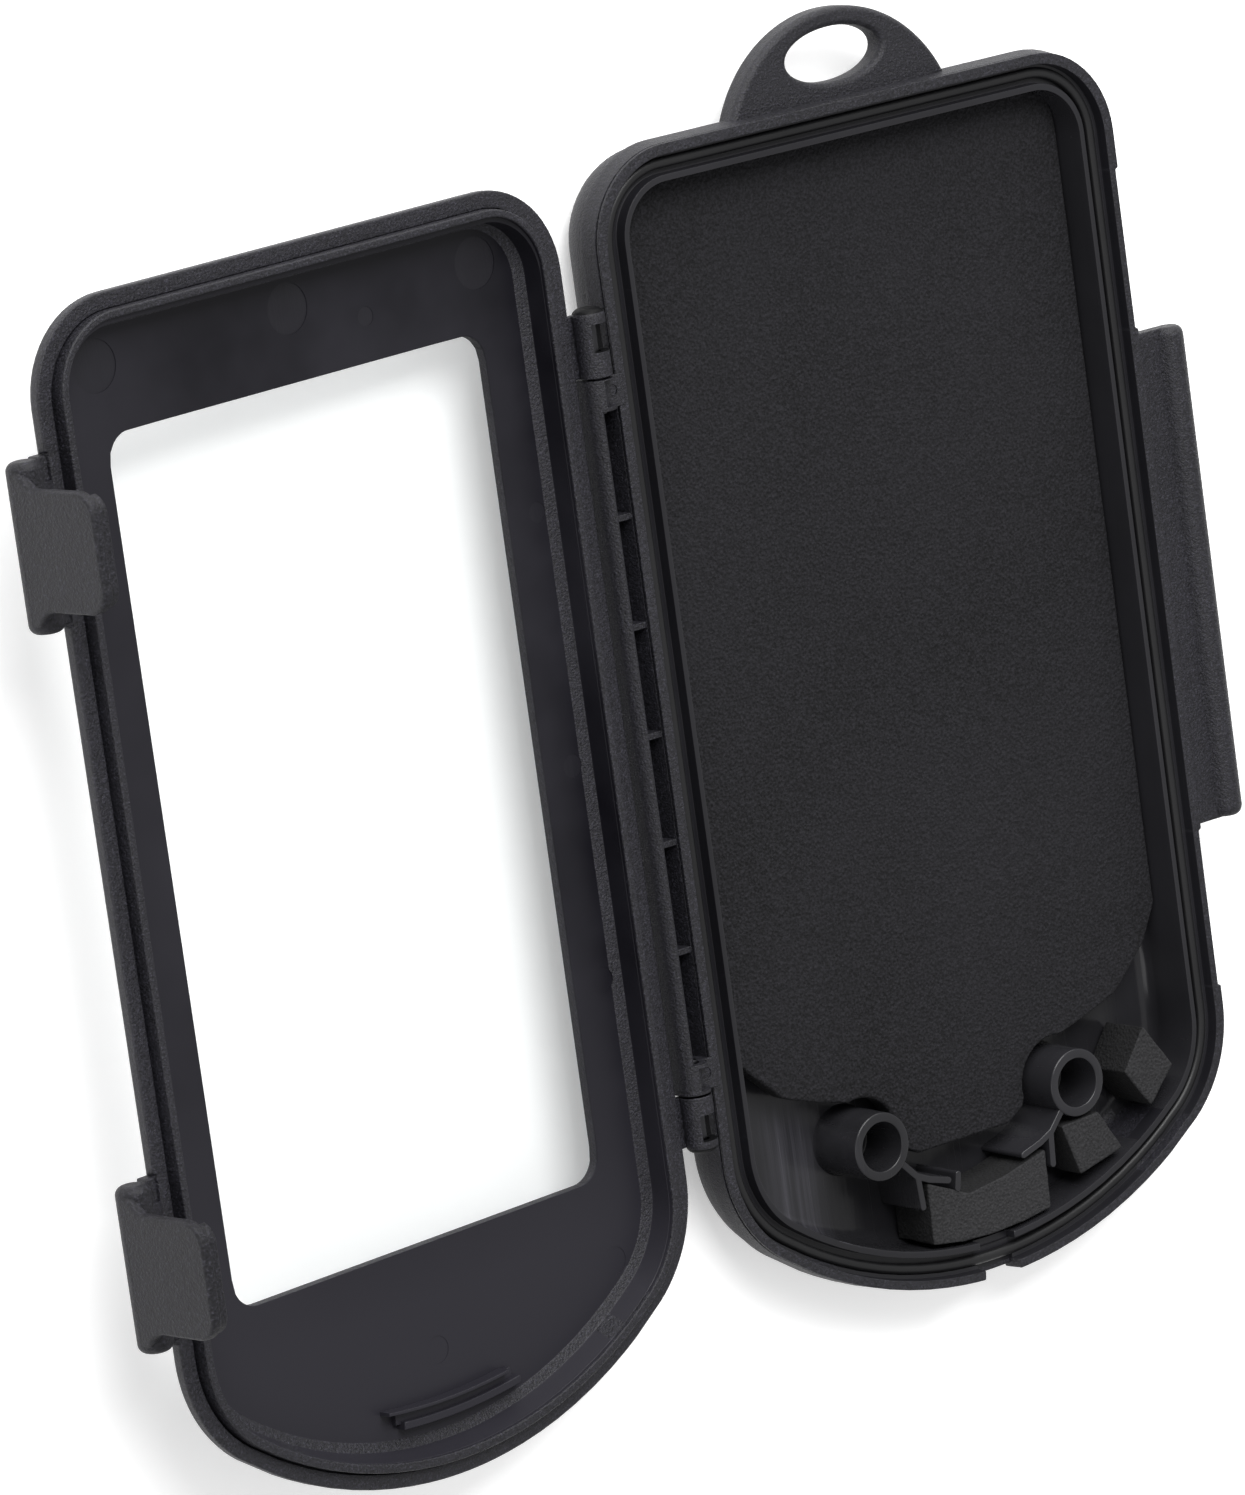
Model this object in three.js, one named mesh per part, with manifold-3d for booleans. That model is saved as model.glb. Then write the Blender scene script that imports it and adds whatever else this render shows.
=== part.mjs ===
import * as THREE from 'three';
import { mergeVertices } from 'three/addons/utils/BufferGeometryUtils.js';
import Module from 'manifold-3d';

const wasm = await Module();
wasm.setup();

// ---- driving dimensions, mm; +X away from the hinge, +Y to the lanyard eye, +Z out of the tray
const RIM_Z = 12;            // height of the base rim above the back
const CASE = { hw: 47.5, top: 86.5, bot: -86.5, rt: 13.4, rb: 19.8, Rb: 66.0 };
const FLANGE_T = 3.9;        // flange thickness
const NECK_IN = 0.82;        // wall set in under the flange
const STEP_Z = 4.8;          // parting step, below the rim
const FLANGE_STEP = 0.4;     // square edge of the rim face above the drafted flange side
const CHANNEL_D = 2.4;       // gasket channel depth
const BODY = { hw: 47.9, top: 87.3, bot: -86.5, rt: 13.8, rb: 20.1, Rb: 66.0 };   // tray wall
const FLANGE = { hw: 47.5, top: 86.85, bot: -86.35, rt: 13.4, rb: 19.8, Rb: 65.9 }; // raised rim face
const CHANNEL = { hw: 45.8, top: 85.25, bot: -84.95, rt: 11.9, rb: 18.2, Rb: 64.4 };
const LIP_OUT = { hw: 42.4, top: 82.45, bot: -81.8, rt: 8.4, rb: 14.8, Rb: 61.3 };
const LIP_IN = { hw: 41.55, top: 81.5, bot: -80.8, rt: 7.6, rb: 13.8, Rb: 60.3 };
const LIP_DROP = 0.5;        // lip top below the flange top
const FLOOR_T = 2.0;         // tray floor thickness
const BEAD = { hw: 44.4, top: 83.95, bot: -83.5, rt: 10.4, rb: 16.8, Rb: 63.0 }; // gasket centreline
const BEAD_W = 1.5;
const BEAD_TOP = 1.25;       // gasket crown below the rim
const GAP = 0.3;             // clearance between pieces

const HINGE = { x: -50.8, z: RIM_Z - 0.1, r: 2.35 };
const OPEN_DEG = 174.4;      // lid angle from closed at rest
const RAIL = { y0: -45.9, y1: 56.9, slot0: -41.5, slot1: 52.4, right: -51.6 };
const RIB_Y = [-25.8, -10.2, 5.4, 21.1, 36.7];
const RIB_W = 0.9;
const KNUCKLES = [
  { y0: 57.2, y1: 67.0, cut: [60.8, 64.8] },
  { y0: -54.4, y1: -46.2, cut: [-52.6, -48.8] }
];
const PIN_R = 0.9;
const BORE_R = 1.2;

const EYE = { r: 21.5, cy: 78.35, z0: RIM_Z - 5.9, z1: RIM_Z - 2.1, hx: 8.8, hy: 4.2, hcy: 93.2 };
const BAR = { y0: -30.6, y1: 42.9, web: 1.2, r: 2.4, cx: 54.4, cz: RIM_Z - 2.0 };
const BOSS = { x: 18.6, y: -62.3, r: 5.0, bore: 3.6, drop: 0.6, depth: 8.0 };
const NOTCH_HW = 3.3;        // half width of the cable notch
const LATCHES = [55.9, -42.8];
const LATCH_ZONE = 23.6;     // length of each latch recess in the flange

const LID_GAP = 0.3;         // lid rim above the base rim when closed
const LID_T = 5.75;          // rim to outer face
const LID_FACE = 3.15;       // rim to inner face
// lid tongue that lands on the gasket, and the well inside it
const TONGUE_OUT = { hw: 44.3, top: 84.08, bot: -84.1, rt: 10.6, rb: 17.0, Rb: 63.6 };
const TONGUE_IN = { hw: 43.05, top: 82.92, bot: -82.75, rt: 9.2, rb: 15.8, Rb: 62.3 };
const TONGUE_Z = 1.4;        // tongue height above the lid rim
const LEDGE = { hw: 43.0, top: 82.25, bot: -82.7, rt: 9.0, rb: 15.7, Rb: 62.2 };
const LEDGE_Z = 0.6;
const WELL = { hw: 42.9, top: 82.15, bot: -81.75, rt: 8.9, rb: 15.2, Rb: 61.6 };
const WELL_Z = 2.75;
const FACE = { hw: 41.2, top: 81.45, bot: -80.35, rt: 8.2, rb: 13.7, Rb: 60.2 };
const GROOVE_OUT = { hw: 45.1, top: 84.25, bot: -84.35, rt: 11.2, rb: 17.6, Rb: 63.9 };
const GROOVE_Z = 1.0;
const WINDOW = { hw: 34.2, y0: -54.3, y1: 67.0, r: 4.0 };
const FILM_T = 0.6;

const LATCH = { px: 51.5, pz: 0.2, r: 2.5, len: 23.2, plate: 16.5, t: 1.6, out: 54.0, end: -15.6, hook: 1.4 };
const EARS = [-6.5, 6.5];
const EAR_T = 3.0;

const COL = { shell: 0x2b2b2e, lid: 0x2c2c30, foam: 0x1e1e1f, block: 0x303032, seal: 0x1c1c1d, pin: 0x8c8c90,
  latch: 0x333336, film: 0xe8eef2 };

// ---- helpers
const TAU = Math.PI * 2;

function arc(cx, cy, r, a0, a1, n) {
  const out = [];
  for (let i = 0; i <= n; i++) {
    const a = a0 + (a1 - a0) * i / n;
    out.push([cx + r * Math.cos(a), cy + r * Math.sin(a)]);
  }
  return out;
}

// rounded top, straight sides, and one large arc with softer corners as the bottom; counter-clockwise
function outline(s, d = 0, n = 5, nb = 14) {
  const w = s.hw - d;
  const top = s.top - d;
  const rt = Math.max(s.rt - d, 0.6);
  const rb = Math.max(s.rb - d, 0.6);
  const Rb = s.Rb - d;
  const yB = s.bot + d + Rb;
  const yc = yB - Math.sqrt((Rb - rb) ** 2 - (w - rb) ** 2);
  const a = Math.atan2(yc - yB, w - rb);
  const right = arc(w - rb, yc, rb, 0, a, n).reverse();
  const left = right.map(([x, y]) => [-x, y]).reverse();
  const low = arc(0, yB, Rb, -Math.PI - a, a, nb).slice(1, -1);
  const tr = arc(w - rt, top - rt, rt, 0, Math.PI / 2, n);
  const tl = arc(rt - w, top - rt, rt, Math.PI / 2, Math.PI, n);
  return [...left, ...low, ...right, ...tr, ...tl];
}

function roundRect(x0, x1, y0, y1, r, n = 4) {
  return [
    ...arc(x1 - r, y0 + r, r, -Math.PI / 2, 0, n), ...arc(x1 - r, y1 - r, r, 0, Math.PI / 2, n),
    ...arc(x0 + r, y1 - r, r, Math.PI / 2, Math.PI, n), ...arc(x0 + r, y0 + r, r, Math.PI, Math.PI * 1.5, n)
  ];
}

// closed solid through rings of equal point count, [[pts, z], ...], bottom to top
function loft(given) {
  const first = given[0][0].map(([x, y]) => new THREE.Vector2(x, y));
  const turn = THREE.ShapeUtils.area(first) < 0;
  const rings = given.map(([pts, z]) => [turn ? [...pts].reverse() : pts, z]);
  const n = rings[0][0].length;
  const pos = [];
  const idx = [];
  rings.forEach(([pts, z]) => pts.forEach(([x, y]) => pos.push(x, y, z)));
  for (let k = 0; k + 1 < rings.length; k++) {
    for (let i = 0; i < n; i++) {
      const j = (i + 1) % n;
      const a = k * n + i;
      const b = k * n + j;
      idx.push(a, b, b + n, a, b + n, a + n);
    }
  }
  const cap = (k, up) => {
    const contour = rings[k][0].map(([x, y]) => new THREE.Vector2(x, y));
    THREE.ShapeUtils.triangulateShape(contour, []).forEach(([a, b, c]) => {
      const t = [a + k * n, b + k * n, c + k * n];
      idx.push(...(up ? t : t.reverse()));
    });
  };
  cap(0, false);
  cap(rings.length - 1, true);
  const g = new THREE.BufferGeometry();
  g.setAttribute('position', new THREE.Float32BufferAttribute(pos, 3));
  g.setIndex(idx);
  return g;
}

const M = new THREE.Matrix4();

function solid(geometry) {
  const g = geometry.clone();
  g.deleteAttribute('normal');
  g.deleteAttribute('uv');
  const m = mergeVertices(g, 1e-5);
  const mesh = new wasm.Mesh({
    numProp: 3,
    vertProperties: new Float32Array(m.attributes.position.array),
    triVerts: new Uint32Array(m.index.array)
  });
  return new wasm.Manifold(mesh);
}

const prism = (pts, z0, z1) => solid(loft([[pts, z0], [pts, z1]]));

// polygon in X and Z, extruded along Y
function prismY(pts, y0, y1) {
  const flip = pts.map(([x, z]) => [x, -z]);
  const g = loft([[flip, y0], [flip, y1]]);
  g.applyMatrix4(M.makeRotationX(-Math.PI / 2));
  return solid(g);
}

// polygon in Y and Z, extruded along X
function prismX(pts, x0, x1) {
  const g = loft([[pts, x0], [pts, x1]]);
  g.applyMatrix4(new THREE.Matrix4().set(0, 0, 1, 0, 1, 0, 0, 0, 0, 1, 0, 0, 0, 0, 0, 1));
  return solid(g);
}

// turned solid along Y, profile [[y, radius], ...] with rising y
function turnY(x, z, profile, n = 16) {
  const rings = profile.map(([y, r]) => [arc(0, 0, r, 0, TAU * (n - 1) / n, n - 1), y]);
  const g = loft(rings);
  g.applyMatrix4(M.makeRotationX(-Math.PI / 2));
  g.translate(x, 0, z);
  return solid(g);
}

const rodY = (x, z, r, y0, y1, n = 16) => turnY(x, z, [[y0, r], [y1, r]], n);
const box = (x0, x1, y0, y1, z0, z1) => prism([[x0, y0], [x1, y0], [x1, y1], [x0, y1]], z0, z1);
const all = (list) => list.reduce((a, b) => a.add(b));
const cut = (a, list) => list.reduce((m, b) => m.subtract(b), a);

// thin upright wall along a polyline
function wall(path, t, z0, z1) {
  const parts = [];
  for (let i = 0; i + 1 < path.length; i++) {
    const [ax, ay] = path[i];
    const [bx, by] = path[i + 1];
    const l = Math.hypot(bx - ax, by - ay);
    const nx = -(by - ay) / l * t / 2;
    const ny = (bx - ax) / l * t / 2;
    const ex = (bx - ax) / l * t / 2;
    const ey = (by - ay) / l * t / 2;
    parts.push(prism([
      [ax - ex - nx, ay - ey - ny], [bx + ex - nx, by + ey - ny],
      [bx + ex + nx, by + ey + ny], [ax - ex + nx, ay - ey + ny]
    ], z0, z1));
  }
  return all(parts);
}

// ---- base shell: tray, flange, gasket channel, lip, bosses, rail, eye and guard bar in one moulding
const SHELL_SIDE = [[0, 7.9], [0.35, 5.9], [1.0, 4.2], [2.2, 2.6], [3.8, 1.5], [5.6, 0.9], [RIM_Z - STEP_Z, 0.7]];

function baseShell() {
  const side = SHELL_SIDE.map(([z, d]) => [outline(BODY, d), z]);
  side.push([outline(BODY, NECK_IN), RIM_Z - STEP_Z + 0.01]);
  side.push([outline(BODY, NECK_IN), RIM_Z - FLANGE_T]);
  side.push([outline(BODY, 0), RIM_Z - FLANGE_T + 0.01]);
  side.push([outline(BODY, 0), RIM_Z - 3.1]);
  side.push([outline(FLANGE, 0), RIM_Z - FLANGE_STEP]);
  side.push([outline(FLANGE, 0.15), RIM_Z]);
  const body = solid(loft(side));
  const eye = eyeTab();
  const keepers = LATCHES.map((y) => box(43, 47.1, y - 8.0, y + 8.0, 0, 5.0));
  let shell = all([body, eye, guardBar(), hingeRail(), ...keepers]);
  const cavity = solid(loft([
    [outline(LIP_IN, 2.0), FLOOR_T], [outline(LIP_IN, 0.8), FLOOR_T + 0.4],
    [outline(LIP_IN, 0.2), FLOOR_T + 1.2], [outline(LIP_IN, 0), FLOOR_T + 2.2],
    [outline(LIP_IN, 0), RIM_Z + 1]
  ]));
  const channel = prism(outline(CHANNEL), RIM_Z - CHANNEL_D, RIM_Z + 1)
    .subtract(prism(outline(LIP_OUT), RIM_Z - CHANNEL_D - 1, RIM_Z + 2));
  const lipTop = prism(outline(CHANNEL), RIM_Z - LIP_DROP, RIM_Z + 1);
  const notch = box(-NOTCH_HW, NOTCH_HW, -88, -79, RIM_Z - CHANNEL_D, RIM_Z + 1);
  const recess = LATCHES.map((y) =>
    box(47.2, 50, y - LATCH_ZONE / 2, y + LATCH_ZONE / 2, RIM_Z - FLANGE_T - 1, RIM_Z + 1));
  shell = cut(shell, [cavity, channel, lipTop, notch, ...recess]);
  const top = RIM_Z - BOSS.drop;
  const posts = [-1, 1].map((s) => all([
    solid(loft([[arc(s * BOSS.x, BOSS.y, BOSS.r + 0.3, 0, TAU * 23 / 24, 23), FLOOR_T - 0.5],
      [arc(s * BOSS.x, BOSS.y, BOSS.r, 0, TAU * 23 / 24, 23), top]])),
    wall([[s * (BOSS.x - 3.2), BOSS.y - 3.4], [s * 12.6, -68.6], [s * 7.2, -70.4]], 0.9, FLOOR_T - 0.5, top - 0.2),
    wall([[s * 12.6, -68.6], [s * 12.4, -73.0]], 0.9, FLOOR_T - 0.5, top - 0.2)
  ]));
  shell = all([shell, ...posts]);
  return cut(shell, [-1, 1].map((s) =>
    prism(arc(s * BOSS.x, BOSS.y, BOSS.bore, 0, TAU * 23 / 24, 23), top - BOSS.depth, top + 1)));
}

function eyeTab() {
  const ring = (r) => {
    const a = Math.asin((85.3 - EYE.cy) / r);
    return arc(0, EYE.cy, r, a, Math.PI - a, 24);
  };
  const tab = solid(loft([
    [ring(EYE.r - 0.9), EYE.z0], [ring(EYE.r), EYE.z0 + 0.9],
    [ring(EYE.r), EYE.z1 - 0.9], [ring(EYE.r - 0.9), EYE.z1]
  ]));
  const oval = (d) => arc(0, 0, 1, 0, TAU * 27 / 28, 27).map(([x, y]) => [x * (EYE.hx + d), EYE.hcy + y * (EYE.hy + d)]);
  const mid = (EYE.z0 + EYE.z1) / 2;
  return tab.subtract(solid(loft([
    [oval(0.6), EYE.z0 - 0.3], [oval(-0.4), mid - 0.6], [oval(-0.4), mid + 0.6], [oval(0.6), EYE.z1 + 0.3]
  ])));
}

function guardBar() {
  const profile = (r, w) => [
    [46.0, BAR.cz - w], [BAR.cx - r * 0.6, BAR.cz - w], ...arc(BAR.cx, BAR.cz, r, -2.1, 2.3, 12),
    [BAR.cx - r * 0.86, RIM_Z - BAR.web], [46.0, RIM_Z - BAR.web]
  ];
  const ends = [[BAR.y0, 1.5], [BAR.y0 + 0.4, 1.95], [BAR.y0 + 1.1, 2.3], [BAR.y0 + 1.8, BAR.r],
    [BAR.y1 - 1.8, BAR.r], [BAR.y1 - 1.1, 2.3], [BAR.y1 - 0.4, 1.95], [BAR.y1, 1.5]];
  const rings = ends.map(([y, r]) => [profile(r, 1.6).map(([x, z]) => [x, -z]), y]);
  const g = loft(rings);
  g.applyMatrix4(M.makeRotationX(-Math.PI / 2));
  return solid(g);
}

function hingeRail() {
  const { x, z, r } = HINGE;
  const low = RIM_Z - 5.0;
  const web = RIM_Z - 3.6;
  const section = [
    [-45.5, low], [-45.5, web], [RAIL.right, web], [RAIL.right, z + r * 0.72],
    ...arc(x, z, r, Math.PI * 0.66, Math.PI, 6), [x - r, low + 1.2], [x - r + 0.5, low + 0.3], [x - r + 1.3, low]
  ];
  const rail = prismY(section, RAIL.y0, RAIL.y1);
  const rib = (y, t) => box(-51.5, -46.2, y - t / 2, y + t / 2, web - 0.2, RIM_Z - 0.6);
  const away = [[-49.35, RIM_Z + 0.15], [-50.35, RIM_Z + 1.35], [-51.25, RIM_Z + 1.9], [-51.3, RIM_Z + 4],
    [-47.9, RIM_Z + 4], [-47.9, RIM_Z + 0.15]];
  const block = (y0, y1) => all([rodY(x, z, r, y0, y1, 24), box(x + 1.25, -46.2, y0, y1, web - 0.2, RIM_Z + 0.15)])
    .subtract(prismY(away, y0 + 0.5, y1 - 0.5));
  const ends = [block(RAIL.slot1, RAIL.y1), block(RAIL.y0, RAIL.slot0)];
  const bores = [rodY(x, z, BORE_R, RAIL.slot1 - 1, RAIL.y1 + 1), rodY(x, z, BORE_R, RAIL.y0 - 1, RAIL.slot0 + 1)];
  return cut(all([rail, ...RIB_Y.map((y) => rib(y, RIB_W)), ...ends]), bores);
}

// ---- soft pieces in the base
function gasket() {
  const z0 = RIM_Z - CHANNEL_D + 0.1;
  const z1 = RIM_Z - BEAD_TOP;
  const o = [0, 0, 0.18, 0.5].map((d) => outline(BEAD, d - BEAD_W / 2));
  const i = [0, 0, 0.18, 0.5].map((d) => outline(BEAD, BEAD_W / 2 - d));
  const zs = [z0, z1 - 0.5, z1 - 0.15, z1];
  const outer = solid(loft(o.map((p, k) => [p, zs[k]])));
  // the inner side is the same section mirrored, cut as a tool that widens upward
  const n = i.length;
  const tool = [[i[0], z0 - 1], ...i.map((p, k) => [p, zs[k]])];
  tool.push([i[n - 1], z1 + 1]);
  return outer.subtract(solid(loft(tool)));
}

function foamPad() {
  const right = [[8.6, -66.4], [11.6, -64.6], ...arc(BOSS.x, BOSS.y, 6.6, Math.PI * 1.05, Math.PI * 0.42, 6),
    [25.0, -54.6], [31.6, -52.4], [38.0, -46.4], [41.0, -41.0]];
  const left = right.map(([x, y]) => [-x, y]).reverse();
  const pts = [...left, ...right, ...arc(34.0, 74.3, 7.0, 0, Math.PI / 2, 6), ...arc(-34.0, 74.3, 7.0, Math.PI / 2, Math.PI, 6)];
  const rise = solid(loft([[pts.map(([x, y]) => [x * 0.957, y * 0.976]), FLOOR_T + 0.15],
    [pts, FLOOR_T + 2.2], [pts, RIM_Z - 5.0]]));
  return rise;
}

const BLOCKS = [
  ['cable_foam', [[-11.3, -79.0], [-6, -79.9], [0, -80.2], [6, -79.9], [11.3, -79.0], [11.3, -70.3], [5.6, -73.2],
    [0, -72.4], [-5.6, -73.2], [-11.3, -70.3]]],
  ['corner_foam_inner', [[14.8, -68.0], [17.4, -75.9], [25.8, -74.0], [22.0, -67.6]]],
  ['corner_foam_outer', [[27.9, -63.2], [32.2, -69.3], [37.2, -64.3], [32.4, -57.3]]]
];

function foamBlock(pts) {
  return prism(pts, FLOOR_T + 1.0, RIM_Z - 0.8);
}

// ---- lid, drawn closed and then swung open about the hinge
const LZ = RIM_Z + LID_GAP;
const LID_SIDE = [[0, 0.15], [0.2, 0], [1.3, 0], [2.1, 0.45], [3.1, 1.35], [4.2, 2.5], [5.1, 4.0], [LID_T, 6.3]];

function lidFrame() {
  const body = solid(loft(LID_SIDE.map(([z, d]) => [outline(CASE, d), LZ + z])));
  const tongue = prism(outline(TONGUE_OUT, 0), LZ - TONGUE_Z, LZ + 1.5);
  const inner = prism(outline(TONGUE_IN, 0), LZ - TONGUE_Z - 1, LZ);
  const ledge = prism(outline(LEDGE, 0), LZ - LEDGE_Z, LZ + 0.5);
  const well = solid(loft([[outline(LEDGE, 0), LZ + 0.4], [outline(WELL, 0), LZ + WELL_Z]]));
  const floor = prism(outline(FACE, 0), LZ, LZ + LID_FACE);
  const groove = prism(outline(GROOVE_OUT, 0), LZ - 1, LZ + GROOVE_Z)
    .subtract(prism(outline(TONGUE_OUT, 0), LZ - 2, LZ + 5));
  const { hw, y0, y1, r } = WINDOW;
  const window = prism(roundRect(-hw, hw, y0, y1, r), LZ, LZ + 9);
  const seat = prism(roundRect(-hw - 1.6, hw + 1.6, y0 - 1.6, y1 + 1.6, r + 1.6), LZ + 4.75, LZ + 9);
  let lid = cut(body.add(tongue), [inner, ledge, well, floor, groove, window, seat]);
  const press = [[-75.9, 12.0, 92], [-77.8, 11.0, 92]].map(([y, half, R]) => {
    const path = arc(0, y + R, R, -Math.PI / 2 - half / R, -Math.PI / 2 + half / R, 6);
    return wall(path, 0.9, LZ + 1.0, LZ + LID_FACE + 0.5);
  });
  const pads = LATCHES.map((y) => box(46.0, 48.6, y - 11.4, y + 11.4, LZ + 0.5, LZ + 2.6));
  const ears = LATCHES.flatMap((y) => EARS.map((e) => ear(y + e)));
  const recess = LATCHES.map((y) => box(47.2, 50, y - LATCH_ZONE / 2, y + LATCH_ZONE / 2, LZ - 1, LZ + 0.5));
  lid = cut(lid, recess);
  lid = all([lid, ...press, ...pads, ...ears, ...KNUCKLES.map(knuckle)]);
  const bores = KNUCKLES.map(({ y0: a, y1: b }) => rodY(HINGE.x, HINGE.z, BORE_R, a > 0 ? a - 1 : a + 1.4, a > 0 ? b - 1.4 : b + 1));
  const earBores = LATCHES.map((y) => rodY(LATCH.px, RIM_Z + LATCH.pz, 1.1, y - 9, y + 9));
  const cuts = KNUCKLES.map(({ cut: [a, b] }) => box(-53.4, -49.4, a, b, HINGE.z - 3, HINGE.z + 0.4));
  return cut(lid, [...bores, ...earBores, ...cuts]);
}

function ear(y) {
  const z = RIM_Z + LATCH.pz;
  const pts = [[46.2, z + 0.4], ...arc(LATCH.px, z, 1.5, -2.2, 1.9, 10), [46.2, z + 2.6]];
  return prismY(pts, y - EAR_T / 2, y + EAR_T / 2);
}

function knuckle({ y0, y1 }) {
  const { x, z, r } = HINGE;
  const up = y0 > 0;
  const round = [[0, r - 0.7], [0.4, r - 0.25], [1.2, r]];
  const far = round.map(([d, q]) => (up ? [y1 - d, q] : [y0 + d, q]));
  const profile = up ? [[y0, r], ...far.reverse()] : [...far, [y1, r]];
  const web = box(x, -46.2, y0 + (up ? 0 : 0.9), y1 - (up ? 0.9 : 0), RIM_Z + 1.0, RIM_Z + 3.2);
  return turnY(x, z, profile, 24).add(web.intersect(box(-60, -40, -90, 90, 0, RIM_Z + 2.25)));
}

function windowFilm() {
  const { hw, y0, y1, r } = WINDOW;
  const s = 1.3;
  return prism(roundRect(-hw - s, hw + s, y0 - s, y1 + s, r + s), LZ + 4.85, LZ + 4.85 + FILM_T);
}

function latch(y) {
  const z = RIM_Z + LATCH.pz;
  const h = LATCH.len / 2;
  const ends = [[-h, 1.5], [-h + 0.4, 2.05], [-h + 1.2, LATCH.r], [h - 1.2, LATCH.r], [h - 0.4, 2.05], [h, 1.5]];
  const barrel = turnY(LATCH.px, z, ends.map(([d, r]) => [y + d, r]), 24);
  const p = LATCH.plate / 2;
  const zEnd = RIM_Z + LATCH.end;
  const face = [
    ...arc(y - p + 3.4, zEnd + 3.4, 3.4, Math.PI, Math.PI * 1.5, 5), ...arc(y + p - 3.4, zEnd + 3.4, 3.4, -Math.PI / 2, 0, 5),
    [y + p, z - 4.0], [y + p + 0.5, z - 2.6], [y + p + 1.8, z - 1.2], [y + h - 0.9, z], [y - h + 0.9, z],
    [y - p - 1.8, z - 1.2], [y - p - 0.5, z - 2.6], [y - p, z - 4.0]
  ];
  const plate = prismX(face, LATCH.out - LATCH.t, LATCH.out);
  const inX = LATCH.out - LATCH.t - LATCH.hook;
  const hook = prismY([[inX, zEnd + 1.8], [inX, zEnd + 0.5], [inX + 0.5, zEnd], [LATCH.out - 0.4, zEnd],
    [LATCH.out - 0.4, zEnd + 2.2], [inX + 0.9, zEnd + 2.2]], y - p + 3.2, y + p - 3.2);
  const fan = [[LATCH.px, z], ...arc(LATCH.px, z, 7, Math.PI * 0.27, Math.PI * 1.37, 12)];
  const slots = EARS.map((e) => {
    const a = y + e - EAR_T / 2 - GAP;
    const b = y + e + EAR_T / 2 + GAP;
    return all([rodY(LATCH.px, z, 1.85, a, b), prismY(fan, a, b)]);
  });
  const bore = rodY(LATCH.px, z, 1.1, y - 10.2, y + 10.2);
  return cut(all([barrel, plate, hook]), [...slots, bore]);
}

const latchPin = (y) => rodY(LATCH.px, RIM_Z + LATCH.pz, 0.8, y - 9.8, y + 9.8, 12);

// ---- assembly
const swing = new THREE.Matrix4()
  .makeTranslation(HINGE.x, 0, HINGE.z)
  .multiply(new THREE.Matrix4().makeRotationY(-OPEN_DEG * Math.PI / 180))
  .multiply(new THREE.Matrix4().makeTranslation(-HINGE.x, 0, -HINGE.z));

const group = new THREE.Group();

function add(name, manifold, color, matrix = null, finish = {}) {
  const m = manifold.getMesh();
  const g = new THREE.BufferGeometry();
  const pos = new Float32Array(m.numVert * 3);
  for (let i = 0; i < m.numVert; i++) {
    for (let k = 0; k < 3; k++) pos[i * 3 + k] = m.vertProperties[i * m.numProp + k];
  }
  g.setAttribute('position', new THREE.BufferAttribute(pos, 3));
  g.setIndex(new THREE.BufferAttribute(new Uint32Array(m.triVerts), 1));
  if (matrix) g.applyMatrix4(matrix);
  g.computeVertexNormals();
  const mesh = new THREE.Mesh(g, new THREE.MeshStandardMaterial({ color, roughness: 0.55, ...finish }));
  mesh.name = name;
  group.add(mesh);
}

add('base_shell', baseShell(), COL.shell);
add('rim_gasket', gasket(), COL.seal);
add('foam_pad', foamPad(), COL.foam);
BLOCKS.forEach(([name, pts]) => add(name, foamBlock(pts), COL.block));
add('hinge_pin_upper', rodY(HINGE.x, HINGE.z, PIN_R, RAIL.slot1 - 0.5, 65.2, 12), COL.pin, null, { metalness: 1 });
add('hinge_pin_lower', rodY(HINGE.x, HINGE.z, PIN_R, -52.6, RAIL.slot0 + 0.5, 12), COL.pin, null, { metalness: 1 });
add('lid_frame', lidFrame(), COL.lid, swing);
add('window_film', windowFilm(), COL.film, swing, { transparent: true, opacity: 0.3 });
['upper', 'lower'].forEach((side, i) => {
  add(`latch_${side}`, latch(LATCHES[i]), COL.latch, swing);
  add(`latch_pin_${side}`, latchPin(LATCHES[i]), COL.pin, swing, { metalness: 1 });
});

export default group;
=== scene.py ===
import math

import bmesh
import bpy
from mathutils import Matrix, Vector, noise


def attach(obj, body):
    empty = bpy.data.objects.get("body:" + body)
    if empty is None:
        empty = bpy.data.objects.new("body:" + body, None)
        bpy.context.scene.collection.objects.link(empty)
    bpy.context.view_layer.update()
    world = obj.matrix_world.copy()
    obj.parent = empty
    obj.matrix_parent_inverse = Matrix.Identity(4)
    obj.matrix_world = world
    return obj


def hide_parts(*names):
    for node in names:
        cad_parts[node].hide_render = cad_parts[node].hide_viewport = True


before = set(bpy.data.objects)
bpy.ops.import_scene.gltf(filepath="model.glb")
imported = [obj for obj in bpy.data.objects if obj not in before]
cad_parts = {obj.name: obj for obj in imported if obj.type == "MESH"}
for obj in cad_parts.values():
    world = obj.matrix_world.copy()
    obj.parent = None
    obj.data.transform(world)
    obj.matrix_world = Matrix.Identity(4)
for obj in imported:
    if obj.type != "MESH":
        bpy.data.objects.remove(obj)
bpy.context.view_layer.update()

# ---- driving dimensions, mm, in the CAD frame: +X away from the hinge, +Y to the eye, +Z out of the tray
MM = 0.001
RIM = 12.0
CASE = dict(hw=47.5, top=86.5, bot=-86.5, rt=13.4, rb=19.8, Rb=66.0)
BODY = dict(hw=47.9, top=87.3, bot=-86.5, rt=13.8, rb=20.1, Rb=66.0)
FLANGE = dict(hw=47.5, top=86.85, bot=-86.35, rt=13.4, rb=19.8, Rb=65.9)
CHANNEL = dict(hw=45.8, top=85.25, bot=-84.95, rt=11.9, rb=18.2, Rb=64.4)
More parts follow.
